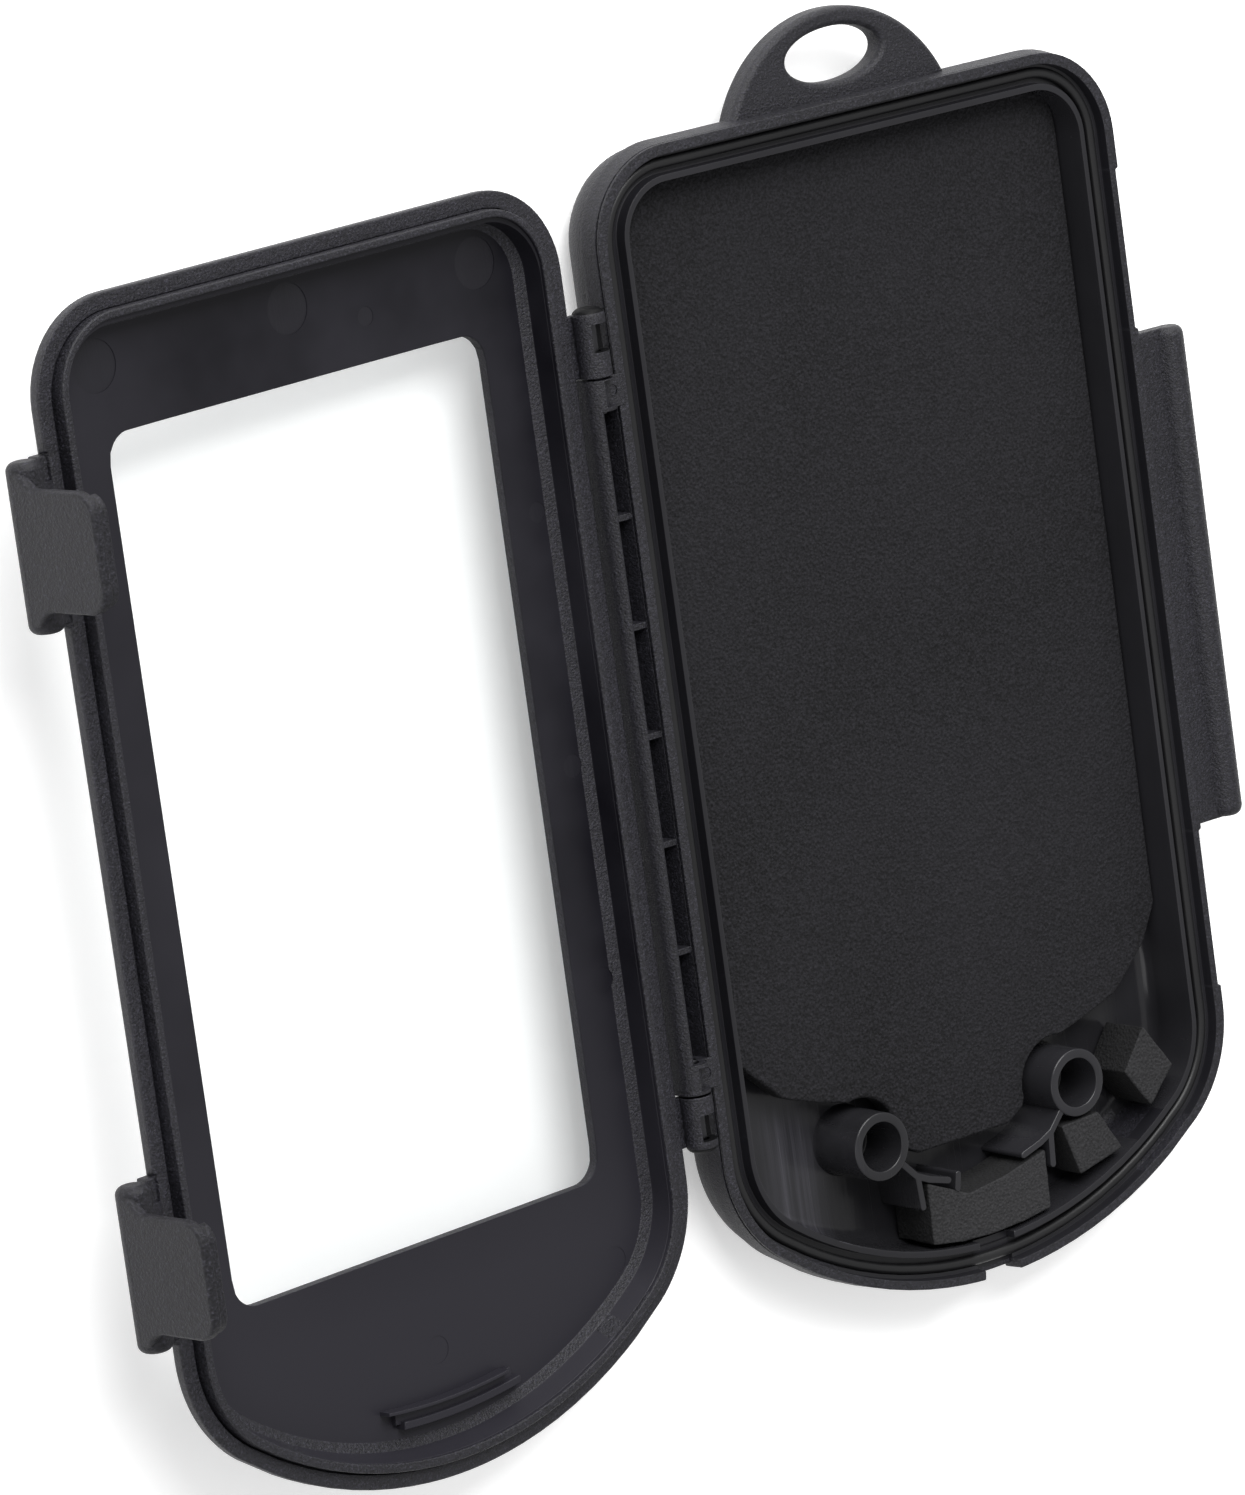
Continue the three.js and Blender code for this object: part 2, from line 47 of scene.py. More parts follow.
LIP_OUT = dict(hw=42.4, top=82.45, bot=-81.8, rt=8.4, rb=14.8, Rb=61.3)
LIP_IN = dict(hw=41.55, top=81.5, bot=-80.8, rt=7.6, rb=13.8, Rb=60.3)
BEAD = dict(hw=44.4, top=83.95, bot=-83.5, rt=10.4, rb=16.8, Rb=63.0)
BEAD_W = 1.5
BEAD_DROP = 1.25
FLOOR_Z = 2.0
NOTCH = 3.3                          # half width of the cable notch
RECESS = 0.5                         # latch recess depth in the flange side
LATCH_Y = (55.9, -42.8)
RECESS_HALF = 11.8
HINGE_X, HINGE_Z, HINGE_R = -50.8, RIM - 0.1, 2.35
OPEN = math.radians(174.4)
RAIL_Y0, RAIL_Y1, SLOT_Y0, SLOT_Y1, RAIL_IN = -45.9, 56.9, -41.5, 52.4, -51.6
RAIL_ROOT = -46.45                   # where the rail's ribs and shelves meet the tray
HINGE_BORE, LATCH_BORE = 1.2, 1.1    # radii
RIB_Y = (-25.8, -10.2, 5.4, 21.1, 36.7)
KNUCKLES = ((57.2, 67.0, 60.8, 64.8), (-54.4, -46.2, -52.6, -48.8))
EYE_R, EYE_CY, EYE_Z0, EYE_Z1 = 21.45, 78.35, RIM - 5.9, RIM - 2.1
EYE_HOLE = (9.0, 4.2, 93.2)
BAR_Y0, BAR_Y1, BAR_R, BAR_CX, BAR_CZ, BAR_WEB = -30.6, 42.9, 2.38, 54.39, RIM - 2.0, RIM - 1.2
BOSS_X, BOSS_Y, BOSS_R, BOSS_BORE, BOSS_TOP = 18.6, -62.3, 5.0, 3.6, RIM - 0.6
LZ = RIM + 0.3                       # the closed lid's rim
LID_T, LID_FACE = 5.75, 3.15
GROOVE = dict(hw=45.1, top=84.13, bot=-84.35, rt=11.2, rb=17.6, Rb=63.9)
TONGUE_OUT = dict(hw=44.3, top=84.08, bot=-84.1, rt=10.6, rb=17.0, Rb=63.6)
TONGUE_IN = dict(hw=43.05, top=82.92, bot=-82.75, rt=9.2, rb=15.8, Rb=62.3)
LEDGE = dict(hw=42.97, top=82.2, bot=-82.67, rt=9.1, rb=15.72, Rb=62.22)
WELL = dict(hw=42.75, top=82.1, bot=-81.7, rt=8.9, rb=15.2, Rb=61.6)
FACE = dict(hw=41.2, top=81.45, bot=-80.35, rt=8.2, rb=13.7, Rb=60.2)
WIN = (34.2, -54.3, 67.0, 4.0)       # half width, y0, y1, corner radius
PIVOT_X, PIVOT_Z, LATCH_R = 51.5, RIM + 0.2, 2.485
LATCH_HALF, PLATE_HALF, PLATE_T, PLATE_OUT, LATCH_END, HOOK = 11.6, 8.25, 1.6, 54.0, RIM - 15.6, 1.4
EARS = (-6.5, 6.5)
PI, TAU = math.pi, math.tau


# ---- shapes
def arc(cx, cy, r, a0, a1, n):
    return [(cx + r * math.cos(a0 + (a1 - a0) * i / n), cy + r * math.sin(a0 + (a1 - a0) * i / n))
            for i in range(n + 1)]


def spread(a, b, step):
    n = max(1, round(abs(b - a) / step))
    return [a + (b - a) * i / n for i in range(1, n)]


def side_stops():
    """Heights along the straight sides, close together at the latch recess ends."""
    edges = sorted(e for y in LATCH_Y for e in (y - RECESS_HALF, y + RECESS_HALF))
    near = [e + d for e in edges for d in (-0.3, -0.12, 0.12, 0.3)]
    stops = [-56.5] + near + [72.5]
    out = []
    for a, b in zip(stops, stops[1:]):
        out += [a] + (spread(a, b, 5.0) if b - a > 6 else [])
    return out + [stops[-1]]


def bottom_stops():
    half = [0.0, 1.6, 3.22, NOTCH, 3.42, 3.62, 5.0, 7.5, 10.5, 14.0, 17.5, 21.0, 25.0, 28.6, 31.6, 34.0]
    return [-x for x in half[:0:-1]] + half


SIDE_Y = side_stops()
BOTTOM_X = bottom_stops()


def outline(s, d=0.0, n=14):
    """Counter-clockwise case outline set in by d; every outline has the same number of points."""
    w, top, Rb = s["hw"] - d, s["top"] - d, s["Rb"] - d
    rt, rb = max(s["rt"] - d, 0.5), max(s["rb"] - d, 0.5)
    yb = s["bot"] + d + Rb
    yc = yb - math.sqrt((Rb - rb) ** 2 - (w - rb) ** 2)
    a = math.atan2(yc - yb, w - rb)
    low = [(x, yb - math.sqrt(Rb * Rb - x * x)) for x in BOTTOM_X]
    right = arc(w - rb, yc, rb, a, 0, n)
    side = [(w, y) for y in SIDE_Y]
    tr = arc(w - rt, top - rt, rt, 0, PI / 2, n)
    span = [(x, top) for x in [(w - rt) * (1 - i / 4) for i in range(1, 8)]]
    tl = arc(rt - w, top - rt, rt, PI / 2, PI, n)
    return low + right + side + tr + span + tl + [(-x, y) for x, y in side[::-1]] + [(-x, y) for x, y in right[::-1]]


def hug(pts, hw, y0, y1, r, grow=0.0):
    """The points of a rounded window nearest to the given outline, one for one."""
    out = []
    for x, y in pts:
        cx = min(hw - r, max(r - hw, x))
        cy = min(y1 - r, max(y0 + r, y))
        k = (r + grow) / math.hypot(x - cx, y - cy)
        out.append((cx + (x - cx) * k, cy + (y - cy) * k))
    return out


def rounded(pts, radius, n=4):
    """A polygon with each corner rounded; radius is one number or one per corner."""
    out = []
    m = len(pts)
    for i, p in enumerate(pts):
        r = radius[i] if isinstance(radius, (list, tuple)) else radius
        p = Vector(p)
        a = Vector(pts[i - 1]) - p
        b = Vector(pts[(i + 1) % m]) - p
        half = a.angle(b) / 2
        if r <= 0 or half > PI / 2 - 0.02:
            out.append(tuple(p))
            continue
        t = min(r / math.tan(half), 0.45 * a.length, 0.45 * b.length)
        p0, p1 = p + a.normalized() * t, p + b.normalized() * t
        for k in range(n + 1):
            u = k / n
            out.append(tuple(p0 * (1 - u) ** 2 + p * 2 * u * (1 - u) + p1 * u * u))
    return out


def area(pts):
    return sum(x0 * y1 - x1 * y0 for (x0, y0), (x1, y1) in zip(pts, pts[1:] + pts[:1])) / 2


def inset(pts, d):
    """Each point moved in along its corner's bisector."""
    if d == 0:
        return list(pts)
    s = 1 if area(pts) > 0 else -1
    out = []
    m = len(pts)
    for i, p in enumerate(pts):
        p = Vector(p)
        a = (p - Vector(pts[i - 1])).normalized()
        b = (Vector(pts[(i + 1) % m]) - p).normalized()
        na, nb = Vector((-a.y, a.x)) * s, Vector((-b.y, b.x)) * s
        v = na + nb
        v = v / max(0.35, v.dot(na))
        out.append(tuple(p + v * d))
    return out


# ---- mesh making
def new_object(name, verts, faces):
    me = bpy.data.meshes.new(name)
    me.from_pydata([tuple(c * MM for c in v) for v in verts], [], faces)
    bm = bmesh.new()
    bm.from_mesh(me)
    bmesh.ops.remove_doubles(bm, verts=bm.verts, dist=2e-7)
    bmesh.ops.recalc_face_normals(bm, faces=bm.faces)
    bm.to_mesh(me)
    bm.free()
    ob = bpy.data.objects.new(name, me)
    bpy.context.scene.collection.objects.link(ob)
    return ob


def ring_mesh(name, rings, closed=False):
    """A solid through 3-D rings of equal count. closed joins the last ring to the first;
    else both ends are capped."""
    n = len(rings[0])
    m = len(rings)
    verts = [p for r in rings for p in r]
    faces = []
    for k in range(m if closed else m - 1):
        a, b = k * n, ((k + 1) % m) * n
        faces += [(a + i, a + (i + 1) % n, b + (i + 1) % n, b + i) for i in range(n)]
    if not closed:
        faces.append(tuple(range(n))[::-1])
        faces.append(tuple(range((m - 1) * n, m * n)))
    return new_object(name, verts, faces)


def bevel_steps(e, n=3):
    """(inset, height from the face) pairs of a quarter round of radius e, from the face outward."""
    return [(e * (1 - math.sin(PI / 2 * k / n)), e * (1 - math.cos(PI / 2 * k / n))) for k in range(n + 1)]


def slab(name, pts, z0, z1, e0=0.15, e1=0.15, n=3, axis="Z", taper=0.0):
    """A prism with quarter-round edges. axis Z: points are x, y. Y: points are x, z. X: points are y, z."""
    rows = []
    for d, h in bevel_steps(e0, n) if e0 else [(0, 0)]:
        rows.append((d, z0 + h, 0.0))
    for d, h in (bevel_steps(e1, n) if e1 else [(0, 0)])[::-1]:
        rows.append((d, z1 - h, taper))
    rings = []
    for d, z, t in rows:
        q = inset(pts, d + t)
        if axis == "Z":
            rings.append([(a, b, z) for a, b in q])
        elif axis == "Y":
            rings.append([(a, z, b) for a, b in q])
        else:
            rings.append([(z, a, b) for a, b in q])
    return ring_mesh(name, rings)


def turned(name, profile, centre, axis="Z", n=48):
    """A turned solid; profile is (radius, height) pairs that start and end on the axis or are capped there."""
    cx, cy = centre
    rings = []
    for r, h in profile:
        c = [(r * math.cos(TAU * i / n), r * math.sin(TAU * i / n)) for i in range(n)]
        rings.append([(cx + a, cy + b, h) if axis == "Z" else (cx + a, h, cy + b) for a, b in c])
    return ring_mesh(name, rings)


def block(name, x0, x1, y0, y1, z0, z1, e=0.15):
    return slab(name, rounded([(x0, y0), (x1, y0), (x1, y1), (x0, y1)], e, 3), z0, z1, e, e)


def boolean(ob, tools, operation):
    for t in tools if isinstance(tools, (list, tuple)) else [tools]:
        mod = ob.modifiers.new("b", "BOOLEAN")
        mod.object = t
        mod.operation = operation
        mod.solver = "MANIFOLD"
        before = len(ob.data.polygons)
        dg = bpy.context.evaluated_depsgraph_get()
        me = bpy.data.meshes.new_from_object(ob.evaluated_get(dg))
        if len(me.polygons) == 0 or (len(me.polygons) == before and operation == "UNION"):
            mod.solver = "EXACT"
            dg = bpy.context.evaluated_depsgraph_get()
            me = bpy.data.meshes.new_from_object(ob.evaluated_get(dg))
        ob.modifiers.remove(mod)
        old = ob.data
        ob.data = me
        me.name = ob.name
        bpy.data.meshes.remove(old)
        bpy.data.objects.remove(t)
    return ob


def add(ob, *tools):
    return boolean(ob, tools, "UNION")


def cut(ob, *tools):
    return boolean(ob, tools, "DIFFERENCE")


SWING = (Matrix.Translation((HINGE_X * MM, 0, HINGE_Z * MM)) @ Matrix.Rotation(-OPEN, 4, "Y")
         @ Matrix.Translation((-HINGE_X * MM, 0, -HINGE_Z * MM)))


def dress(ob, body, mats, pick=None, swing=False, sharp=38, replaces=()):
    """Materials, shading and place of one finished piece; it is parented to its body, and the CAD parts it replaces
    are hidden.
    """
    me = ob.data
    me.materials.clear()
    for m in mats:
        me.materials.append(m)
    for p in me.polygons:
        p.use_smooth = True
        p.material_index = pick(p.center / MM, p.normal) if pick else 0
    me.set_sharp_from_angle(angle=math.radians(sharp))
    if swing:
        me.transform(SWING)
    wn = ob.modifiers.new("weighted", "WEIGHTED_NORMAL")
    wn.keep_sharp = True
    wn.weight = 60
    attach(ob, body)
    if replaces:
        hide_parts(*replaces)
    return ob


# ---- materials
def node_tree(name):
    mat = bpy.data.materials.new(name)
    mat.use_nodes = True
    nt = mat.node_tree
    bsdf = nt.nodes["Principled BSDF"]
    coord = nt.nodes.new("ShaderNodeTexCoord")
    return mat, nt, bsdf, coord.outputs["Object"]


def mapped(nt, coord, scale, turn=(0, 0, 0)):
    m = nt.nodes.new("ShaderNodeMapping")
    m.inputs["Scale"].default_value = scale
    m.inputs["Rotation"].default_value = turn
    nt.links.new(coord, m.inputs["Vector"])
    return m.outputs["Vector"]


def noise_of(nt, vec, scale, detail=2.0, rough=0.5):
    t = nt.nodes.new("ShaderNodeTexNoise")
    t.inputs["Scale"].default_value = scale
    t.inputs["Detail"].default_value = detail
    t.inputs["Roughness"].default_value = rough
    nt.links.new(vec, t.inputs["Vector"])
    return t.outputs["Fac"]


def ranged(nt, value, a, b, lo=0.0, hi=1.0):
    r = nt.nodes.new("ShaderNodeMapRange")
    for key, v in (("From Min", a), ("From Max", b), ("To Min", lo), ("To Max", hi)):
        r.inputs[key].default_value = v
    nt.links.new(value, r.inputs["Value"])
    return r.outputs["Result"]


def mixed(nt, fac, c0, c1):
    m = nt.nodes.new("ShaderNodeMix")
    m.data_type = "RGBA"
    nt.links.new(fac, m.inputs[0])
    for socket, c in ((m.inputs[6], c0), (m.inputs[7], c1)):
        if isinstance(c, tuple):
            socket.default_value = (*c, 1)
        else:
            nt.links.new(c, socket)
    return m.outputs[2]


def bumped(nt, bsdf, layers):
    """layers: (height socket, strength, distance in mm), each on top of the last."""
    last = None
    for height, strength, mm in layers:
        b = nt.nodes.new("ShaderNodeBump")
        b.inputs["Strength"].default_value = strength
        b.inputs["Distance"].default_value = mm * MM
        nt.links.new(height, b.inputs["Height"])
        if last:
            nt.links.new(last, b.inputs["Normal"])
        last = b.outputs["Normal"]
    nt.links.new(last, bsdf.inputs["Normal"])


def specks(nt, vec, scale, size):
    """1 on sparse tiny dots, else 0."""
    v = nt.nodes.new("ShaderNodeTexVoronoi")
    v.inputs["Scale"].default_value = scale
    nt.links.new(vec, v.inputs["Vector"])
    return ranged(nt, v.outputs["Distance"], size, size * 0.5)


def spark(name, dark, light, rough=(0.46, 0.6), grain=0.9, cell=0.32, gloss=0.36):
    """Moulded plastic with a fine spark-eroded surface."""
    mat, nt, bsdf, co = node_tree(name)
    fine = noise_of(nt, co, 1 / (cell * MM), 3, 0.6)
    pits = noise_of(nt, co, 1 / (cell * 2.4 * MM), 2, 0.5)
    cloud = noise_of(nt, co, 35, 3, 0.55)
    base = mixed(nt, ranged(nt, cloud, 0.3, 0.7), dark, light)
    base = mixed(nt, ranged(nt, fine, 0.5, 0.34), base, tuple(c * 0.35 for c in dark))
    # Painted glints: the grain's crests are painted much lighter in the base colour, a painted highlight.
    glint = ranged(nt, fine, 0.56, 0.74)
    nt.links.new(mixed(nt, glint, base, tuple(c * 3.0 for c in light)), bsdf.inputs["Base Color"])
    nt.links.new(ranged(nt, fine, 0.3, 0.7, *rough), bsdf.inputs["Roughness"])
    bsdf.inputs["Specular IOR Level"].default_value = gloss
    bumped(nt, bsdf, [(fine, grain, 0.2), (pits, grain * 0.7, 0.16)])
    return mat


def satin(name, dark, light, rough=(0.3, 0.42), streak=0.25, along=(18, 3, 18), gloss=0.3, low=None):
    """Smooth moulded face: faint flow streaks, smudges, a few dust specks."""
    mat, nt, bsdf, co = node_tree(name)
    flow = noise_of(nt, mapped(nt, co, along), 9, 4, 0.6)
    smudge = noise_of(nt, co, 28, 4, 0.6)
    micro = noise_of(nt, co, 2600, 2, 0.5)
    dust = specks(nt, co, 95, 0.011)
    base = mixed(nt, ranged(nt, smudge, 0.35, 0.68), dark, light)
    # Painted light: the face colour is made lighter toward the rounded end and the free side.
    if low:                              # lighter toward the rounded end and the free side
        split = nt.nodes.new("ShaderNodeSeparateXYZ")
        nt.links.new(co, split.inputs[0])
        base = mixed(nt, ranged(nt, split.outputs[1], -22 * MM, -62 * MM), base, low)
        base = mixed(nt, ranged(nt, split.outputs[0], -118 * MM, -142 * MM, 0, 0.6), base, low)
    nt.links.new(mixed(nt, dust, base, (0.12, 0.12, 0.125)), bsdf.inputs["Base Color"])
    nt.links.new(ranged(nt, smudge, 0.3, 0.7, *rough), bsdf.inputs["Roughness"])
    bsdf.inputs["Specular IOR Level"].default_value = gloss
    bumped(nt, bsdf, [(flow, streak, 0.05), (micro, 0.2, 0.03)])
    return mat


def tray_gloss(name, dark, light):
    """Glossy tray inside: long flow streaks, and a painted highlight: streaked lighter colour where the left wall
    turns into the floor.
    """
    mat, nt, bsdf, co = node_tree(name)
    flow = noise_of(nt, mapped(nt, co, (30, 1.2, 30)), 9, 4, 0.6)
    streak = noise_of(nt, mapped(nt, co, (420, 9, 60)), 2.2, 4, 0.7)
    smudge = noise_of(nt, co, 28, 4, 0.6)
    micro = noise_of(nt, co, 2600, 2, 0.5)
    split = nt.nodes.new("ShaderNodeSeparateXYZ")
    nt.links.new(co, split.inputs[0])

    def band(value, a, b, c, d):
        up, down = ranged(nt, value, a * MM, b * MM), ranged(nt, value, c * MM, d * MM, 1, 0)
        return product(up, down)

    def product(p, q):
        m = nt.nodes.new("ShaderNodeMath")
        m.operation = "MULTIPLY"
        nt.links.new(p, m.inputs[0])
        nt.links.new(q, m.inputs[1])
        return m.outputs[0]
    # Painted highlight: a streaked lighter colour on the left wall and floor near the lower left stands in for a
    # reflection there.
    place = product(band(split.outputs[0], -34, -30, -27.5, -22), ranged(nt, split.outputs[1], -50 * MM, -58 * MM))
    painted_highlight = product(place, ranged(nt, streak, 0.36, 0.66, 0.15, 1.0))
    base = mixed(nt, ranged(nt, smudge, 0.35, 0.68), dark, light)
    nt.links.new(mixed(nt, painted_highlight, base, (0.046, 0.045, 0.053)), bsdf.inputs["Base Color"])
    nt.links.new(ranged(nt, streak, 0.3, 0.7, 0.16, 0.3), bsdf.inputs["Roughness"])
    bsdf.inputs["Specular IOR Level"].default_value = 0.3
    bumped(nt, bsdf, [(flow, 0.7, 0.12), (streak, 0.3, 0.03), (micro, 0.15, 0.02)])
    return mat


def foam(name, dark, light, cell=0.4, strength=1.0, fleck=0.014):
    """Fine-celled foam: open pores, light cell edges and a few stray fibres."""
    mat, nt, bsdf, co = node_tree(name)
    cells = nt.nodes.new("ShaderNodeTexVoronoi")
    cells.inputs["Scale"].default_value = 1 / (cell * MM)
    nt.links.new(co, cells.inputs["Vector"])
    pores = cells.outputs["Distance"]
    fine = noise_of(nt, co, 1 / (cell * 0.8 * MM), 2, 0.6)
    cloud = noise_of(nt, co, 22, 3, 0.6)
    dust = specks(nt, co, 110, fleck)
    base = mixed(nt, ranged(nt, fine, 0.38, 0.66), dark, light)
    base = mixed(nt, ranged(nt, cloud, 0.3, 0.75, 0, 0.35), base, tuple(c * 1.35 for c in light))
    nt.links.new(mixed(nt, dust, base, (0.09, 0.09, 0.09)), bsdf.inputs["Base Color"])
    bsdf.inputs["Roughness"].default_value = 0.95
    bsdf.inputs["Specular IOR Level"].default_value = 0.3
    bumped(nt, bsdf, [(pores, strength, 0.2), (fine, strength * 0.7, 0.12)])
    return mat


def steel(name):
    mat, nt, bsdf, co = node_tree(name)
    lines = noise_of(nt, mapped(nt, co, (900, 60, 900)), 3, 3, 0.6)
    nt.links.new(mixed(nt, lines, (0.03, 0.03, 0.033), (0.07, 0.07, 0.075)), bsdf.inputs["Base Color"])
    nt.links.new(ranged(nt, lines, 0.3, 0.7, 0.25, 0.42), bsdf.inputs["Roughness"])
    bsdf.inputs["Metallic"].default_value = 1.0
    bumped(nt, bsdf, [(lines, 0.2, 0.01)])
    return mat


def clear(name):
    """Clear film: see-through mixed with gloss by Fresnel, without refraction."""
    mat, nt, bsdf, co = node_tree(name)
    haze = noise_of(nt, co, 40, 4, 0.6)
    nt.links.new(mixed(nt, haze, (0.97, 0.98, 0.98), (0.94, 0.95, 0.96)), bsdf.inputs["Base Color"])
    nt.links.new(ranged(nt, haze, 0.3, 0.7, 0.03, 0.09), bsdf.inputs["Roughness"])
    bsdf.inputs["Transmission Weight"].default_value = 1.0
    bsdf.inputs["IOR"].default_value = 1.5
    see = nt.nodes.new("ShaderNodeBsdfTransparent")
    see.inputs["Color"].default_value = (0.985, 0.99, 0.99, 1)
    gloss = nt.nodes.new("ShaderNodeBsdfGlossy")
    nt.links.new(ranged(nt, haze, 0.3, 0.7, 0.05, 0.14), gloss.inputs["Roughness"])
    edge = nt.nodes.new("ShaderNodeFresnel")
    edge.inputs["IOR"].default_value = 1.3
    mix = nt.nodes.new("ShaderNodeMixShader")
    nt.links.new(edge.outputs[0], mix.inputs[0])
    nt.links.new(see.outputs[0], mix.inputs[1])
    nt.links.new(gloss.outputs[0], mix.inputs[2])
    nt.links.new(mix.outputs[0], nt.nodes["Material Output"].inputs["Surface"])
    return mat


SHELL = spark("shell_spark", (0.0082, 0.0079, 0.0108), (0.0120, 0.0116, 0.0158))
RIM_SATIN = satin("rim_satin", (0.0072, 0.0070, 0.0090), (0.0110, 0.0108, 0.0134), (0.36, 0.46), 0.1, gloss=0.36)
TRAY = tray_gloss("tray_gloss", (0.0140, 0.0139, 0.0156), (0.0205, 0.0202, 0.0232))
LID_SPARK = spark("lid_spark", (0.0092, 0.0088, 0.0122), (0.0132, 0.0127, 0.0174))
# The low tone is painted light: it lightens the lid face toward its rounded end and free side.
LID_SATIN = satin("lid_satin", (0.0028, 0.0026, 0.0044), (0.0125, 0.0119, 0.0160), (0.3, 0.56), 0.2, gloss=0.2,
                  low=(0.0168, 0.0160, 0.0208))
LID_MARK = satin("lid_mark", (0.0062, 0.0058, 0.0082), (0.0122, 0.0117, 0.0156), (0.36, 0.5), 1.0, (260, 6, 60), 0.24)
# Painted shade: a darker, duller copy of the lid plastic for the walls of the hinge bores.
BORE_SHADE = satin("bore_painted_shade", (0.0020, 0.0020, 0.0024), (0.0034, 0.0034, 0.0040), (0.5, 0.6), 0.1, gloss=0.12)
LATCH = spark("latch_spark", (0.0080, 0.0077, 0.0104), (0.0118, 0.0114, 0.0150), (0.5, 0.64), 1.0, 0.42, 0.27)
SEAL = satin("seal_rubber", (0.0068, 0.0068, 0.0074), (0.0105, 0.0105, 0.0113), (0.34, 0.46), 0.15, gloss=0.34)
FOAM = foam("foam_fine", (0.0012, 0.0012, 0.0016), (0.0118, 0.0115, 0.0140), 0.5)
BLOCK = foam("foam_open", (0.0095, 0.0095, 0.0100), (0.0240, 0.0238, 0.0254), 0.46, 0.9, 0.02)
# Painted shade: a darker copy of the block foam for the blocks' sides; their tops use the lighter copy above.
BLOCK_SIDE_SHADE = foam("foam_side_painted_shade", (0.0030, 0.0030, 0.0033), (0.0090, 0.0090, 0.0096), 0.46, 0.9, 0.02)
STEEL = steel("pin_steel")
CLEAR = clear("film_clear")


# ---- base shell
def base_rings():
    rows = []
    for k in range(13):
        a = PI / 2 * k / 12
        rows.append((BODY, 7.9 - 7.2 * math.sin(a), 7.2 * (1 - math.cos(a)), ""))
    rows += [(BODY, d, z, "") for d, z in ((0.74, 7.26), (0.80, 7.29), (0.82, 7.38), (0.82, 7.92))]
    rows += [(BODY, d, z, "flange") for d, z in (
        (0.82, 8.0), (0.78, 8.07), (0.66, 8.1), (0.2, 8.1), (0.06, 8.15), (0.0, 8.3), (0.0, 8.9))]
    rows += [(FLANGE, d, z, "flange") for d, z in (
        (-0.02, 11.2), (0.03, 11.25), (0.24, 11.27), (0.24, 11.58), (0.03, 11.6), (-0.01, 11.66), (0.0, 11.84),
        (0.05, 11.95), (0.16, 12.0))]
    rows += [(CHANNEL, d, z, "edge") for d, z in ((-0.22, 12.0), (-0.08, 11.96), (-0.01, 11.84))]
    rows += [(CHANNEL, 0.0, 10.36, "edge"), (CHANNEL, 0.06, 10.24, "edge"), (CHANNEL, 0.2, 10.2, "edge")]
    rows += [(BEAD, -0.92, 10.2, "edge"), (BEAD, -0.82, 10.14, "edge"), (BEAD, -0.78, 9.6, "edge")]
    rows += [(LIP_OUT, -0.2, 9.6, ""), (LIP_OUT, -0.05, 9.66, ""), (LIP_OUT, 0.0, 9.85, "")]
    rows += [(LIP_OUT, 0.0, 11.34, "lip"), (LIP_OUT, 0.04, 11.45, "lip"), (LIP_OUT, 0.14, 11.5, "lip")]
    rows += [(LIP_IN, -0.14, 11.5, "lip"), (LIP_IN, -0.04, 11.45, "lip"), (LIP_IN, 0.0, 11.34, "lip")]
    rows += [(LIP_IN, 0.0, 8.8, ""), (LIP_IN, 0.04, 6.4, "")]
    for k in range(9):
        a = PI / 2 * k / 8
        rows.append((LIP_IN, 0.08 + 2.1 * (1 - math.cos(a)), 4.3 - 2.3 * math.sin(a), ""))
    rings = []
    flange_i = 0
    for s, d, z, kind in rows:
        ring = []
        inner = outline(s, d)
        moved = outline(s, d + RECESS) if kind == "flange" and d < 0.5 else None
        necked = None
        if kind == "flange":
            flange_i += 1
            necked = outline(BODY, 0.82 + 0.04 * max(0, flange_i - 4))
        for i, (x, y) in enumerate(inner):
            zz = z
            if moved and x > 40:
                k = max(edge_step(y, c) for c in LATCH_Y)
                x += (moved[i][0] - x) * k
            if y < -60 and kind:
                low = abs(x) < 3.26
                if kind == "edge":
                    zz = min(z, 9.55) if low else z
                elif kind == "flange":
                    if low:
                        (x, y), zz = necked[i], 9.62 - 0.003 * flange_i
                    else:
                        q = {NOTCH: 0.16, 3.42: 0.04}.get(round(abs(x), 2), 0)
                        zz = z + (11.0 - z) * q
                        y = y + (outline(BODY, 0.7)[i][1] - y) * q
                else:
                    q = {NOTCH: 0.14, 3.42: 0.03}.get(round(abs(x), 2), 0)
                    zz = 9.6 - (0.01 if s is LIP_IN else 0) if low else z - q
            ring.append((x, y, zz))
        rings.append(ring)
    return rings


def edge_step(y, centre):
    t = (RECESS_HALF - abs(y - centre)) / 0.36 + 0.5
    t = min(1.0, max(0.0, t))
    return t * t * (3 - 2 * t)


def eye_tab():
    def ring(r):
        a = math.asin((85.4 - EYE_CY) / r)
        return arc(0, EYE_CY, r, a, PI - a, 72)
    rows = [(d, EYE_Z0 + h) for d, h in bevel_steps(0.95, 6)]
    rows += [(d, EYE_Z1 - h) for d, h in bevel_steps(0.95, 6)[::-1]]
    tab = ring_mesh("eye_tab", [[(x, y, z) for x, y in ring(EYE_R - d)] for d, z in rows])
    hx, hy, cy = EYE_HOLE
    mid = (EYE_Z0 + EYE_Z1) / 2
    half = (EYE_Z1 - EYE_Z0) / 2

    def oval(d, z):
        return [((hx + d) * math.cos(TAU * i / 72), cy + (hy + d) * math.sin(TAU * i / 72), z) for i in range(72)]
    rows = []
    for k in range(7):
        a = PI / 2 * k / 6
        rows.append((0.62 - 0.95 * math.sin(a), half - 0.95 * (1 - math.cos(a))))
    rows = [(1.0, half + 0.6)] + rows + [(-0.38, 0.0)]
    rings = [oval(d, mid - h) for d, h in rows] + [oval(d, mid + h) for d, h in rows[-2::-1]]
    return cut(tab, ring_mesh("eye_hole", rings))


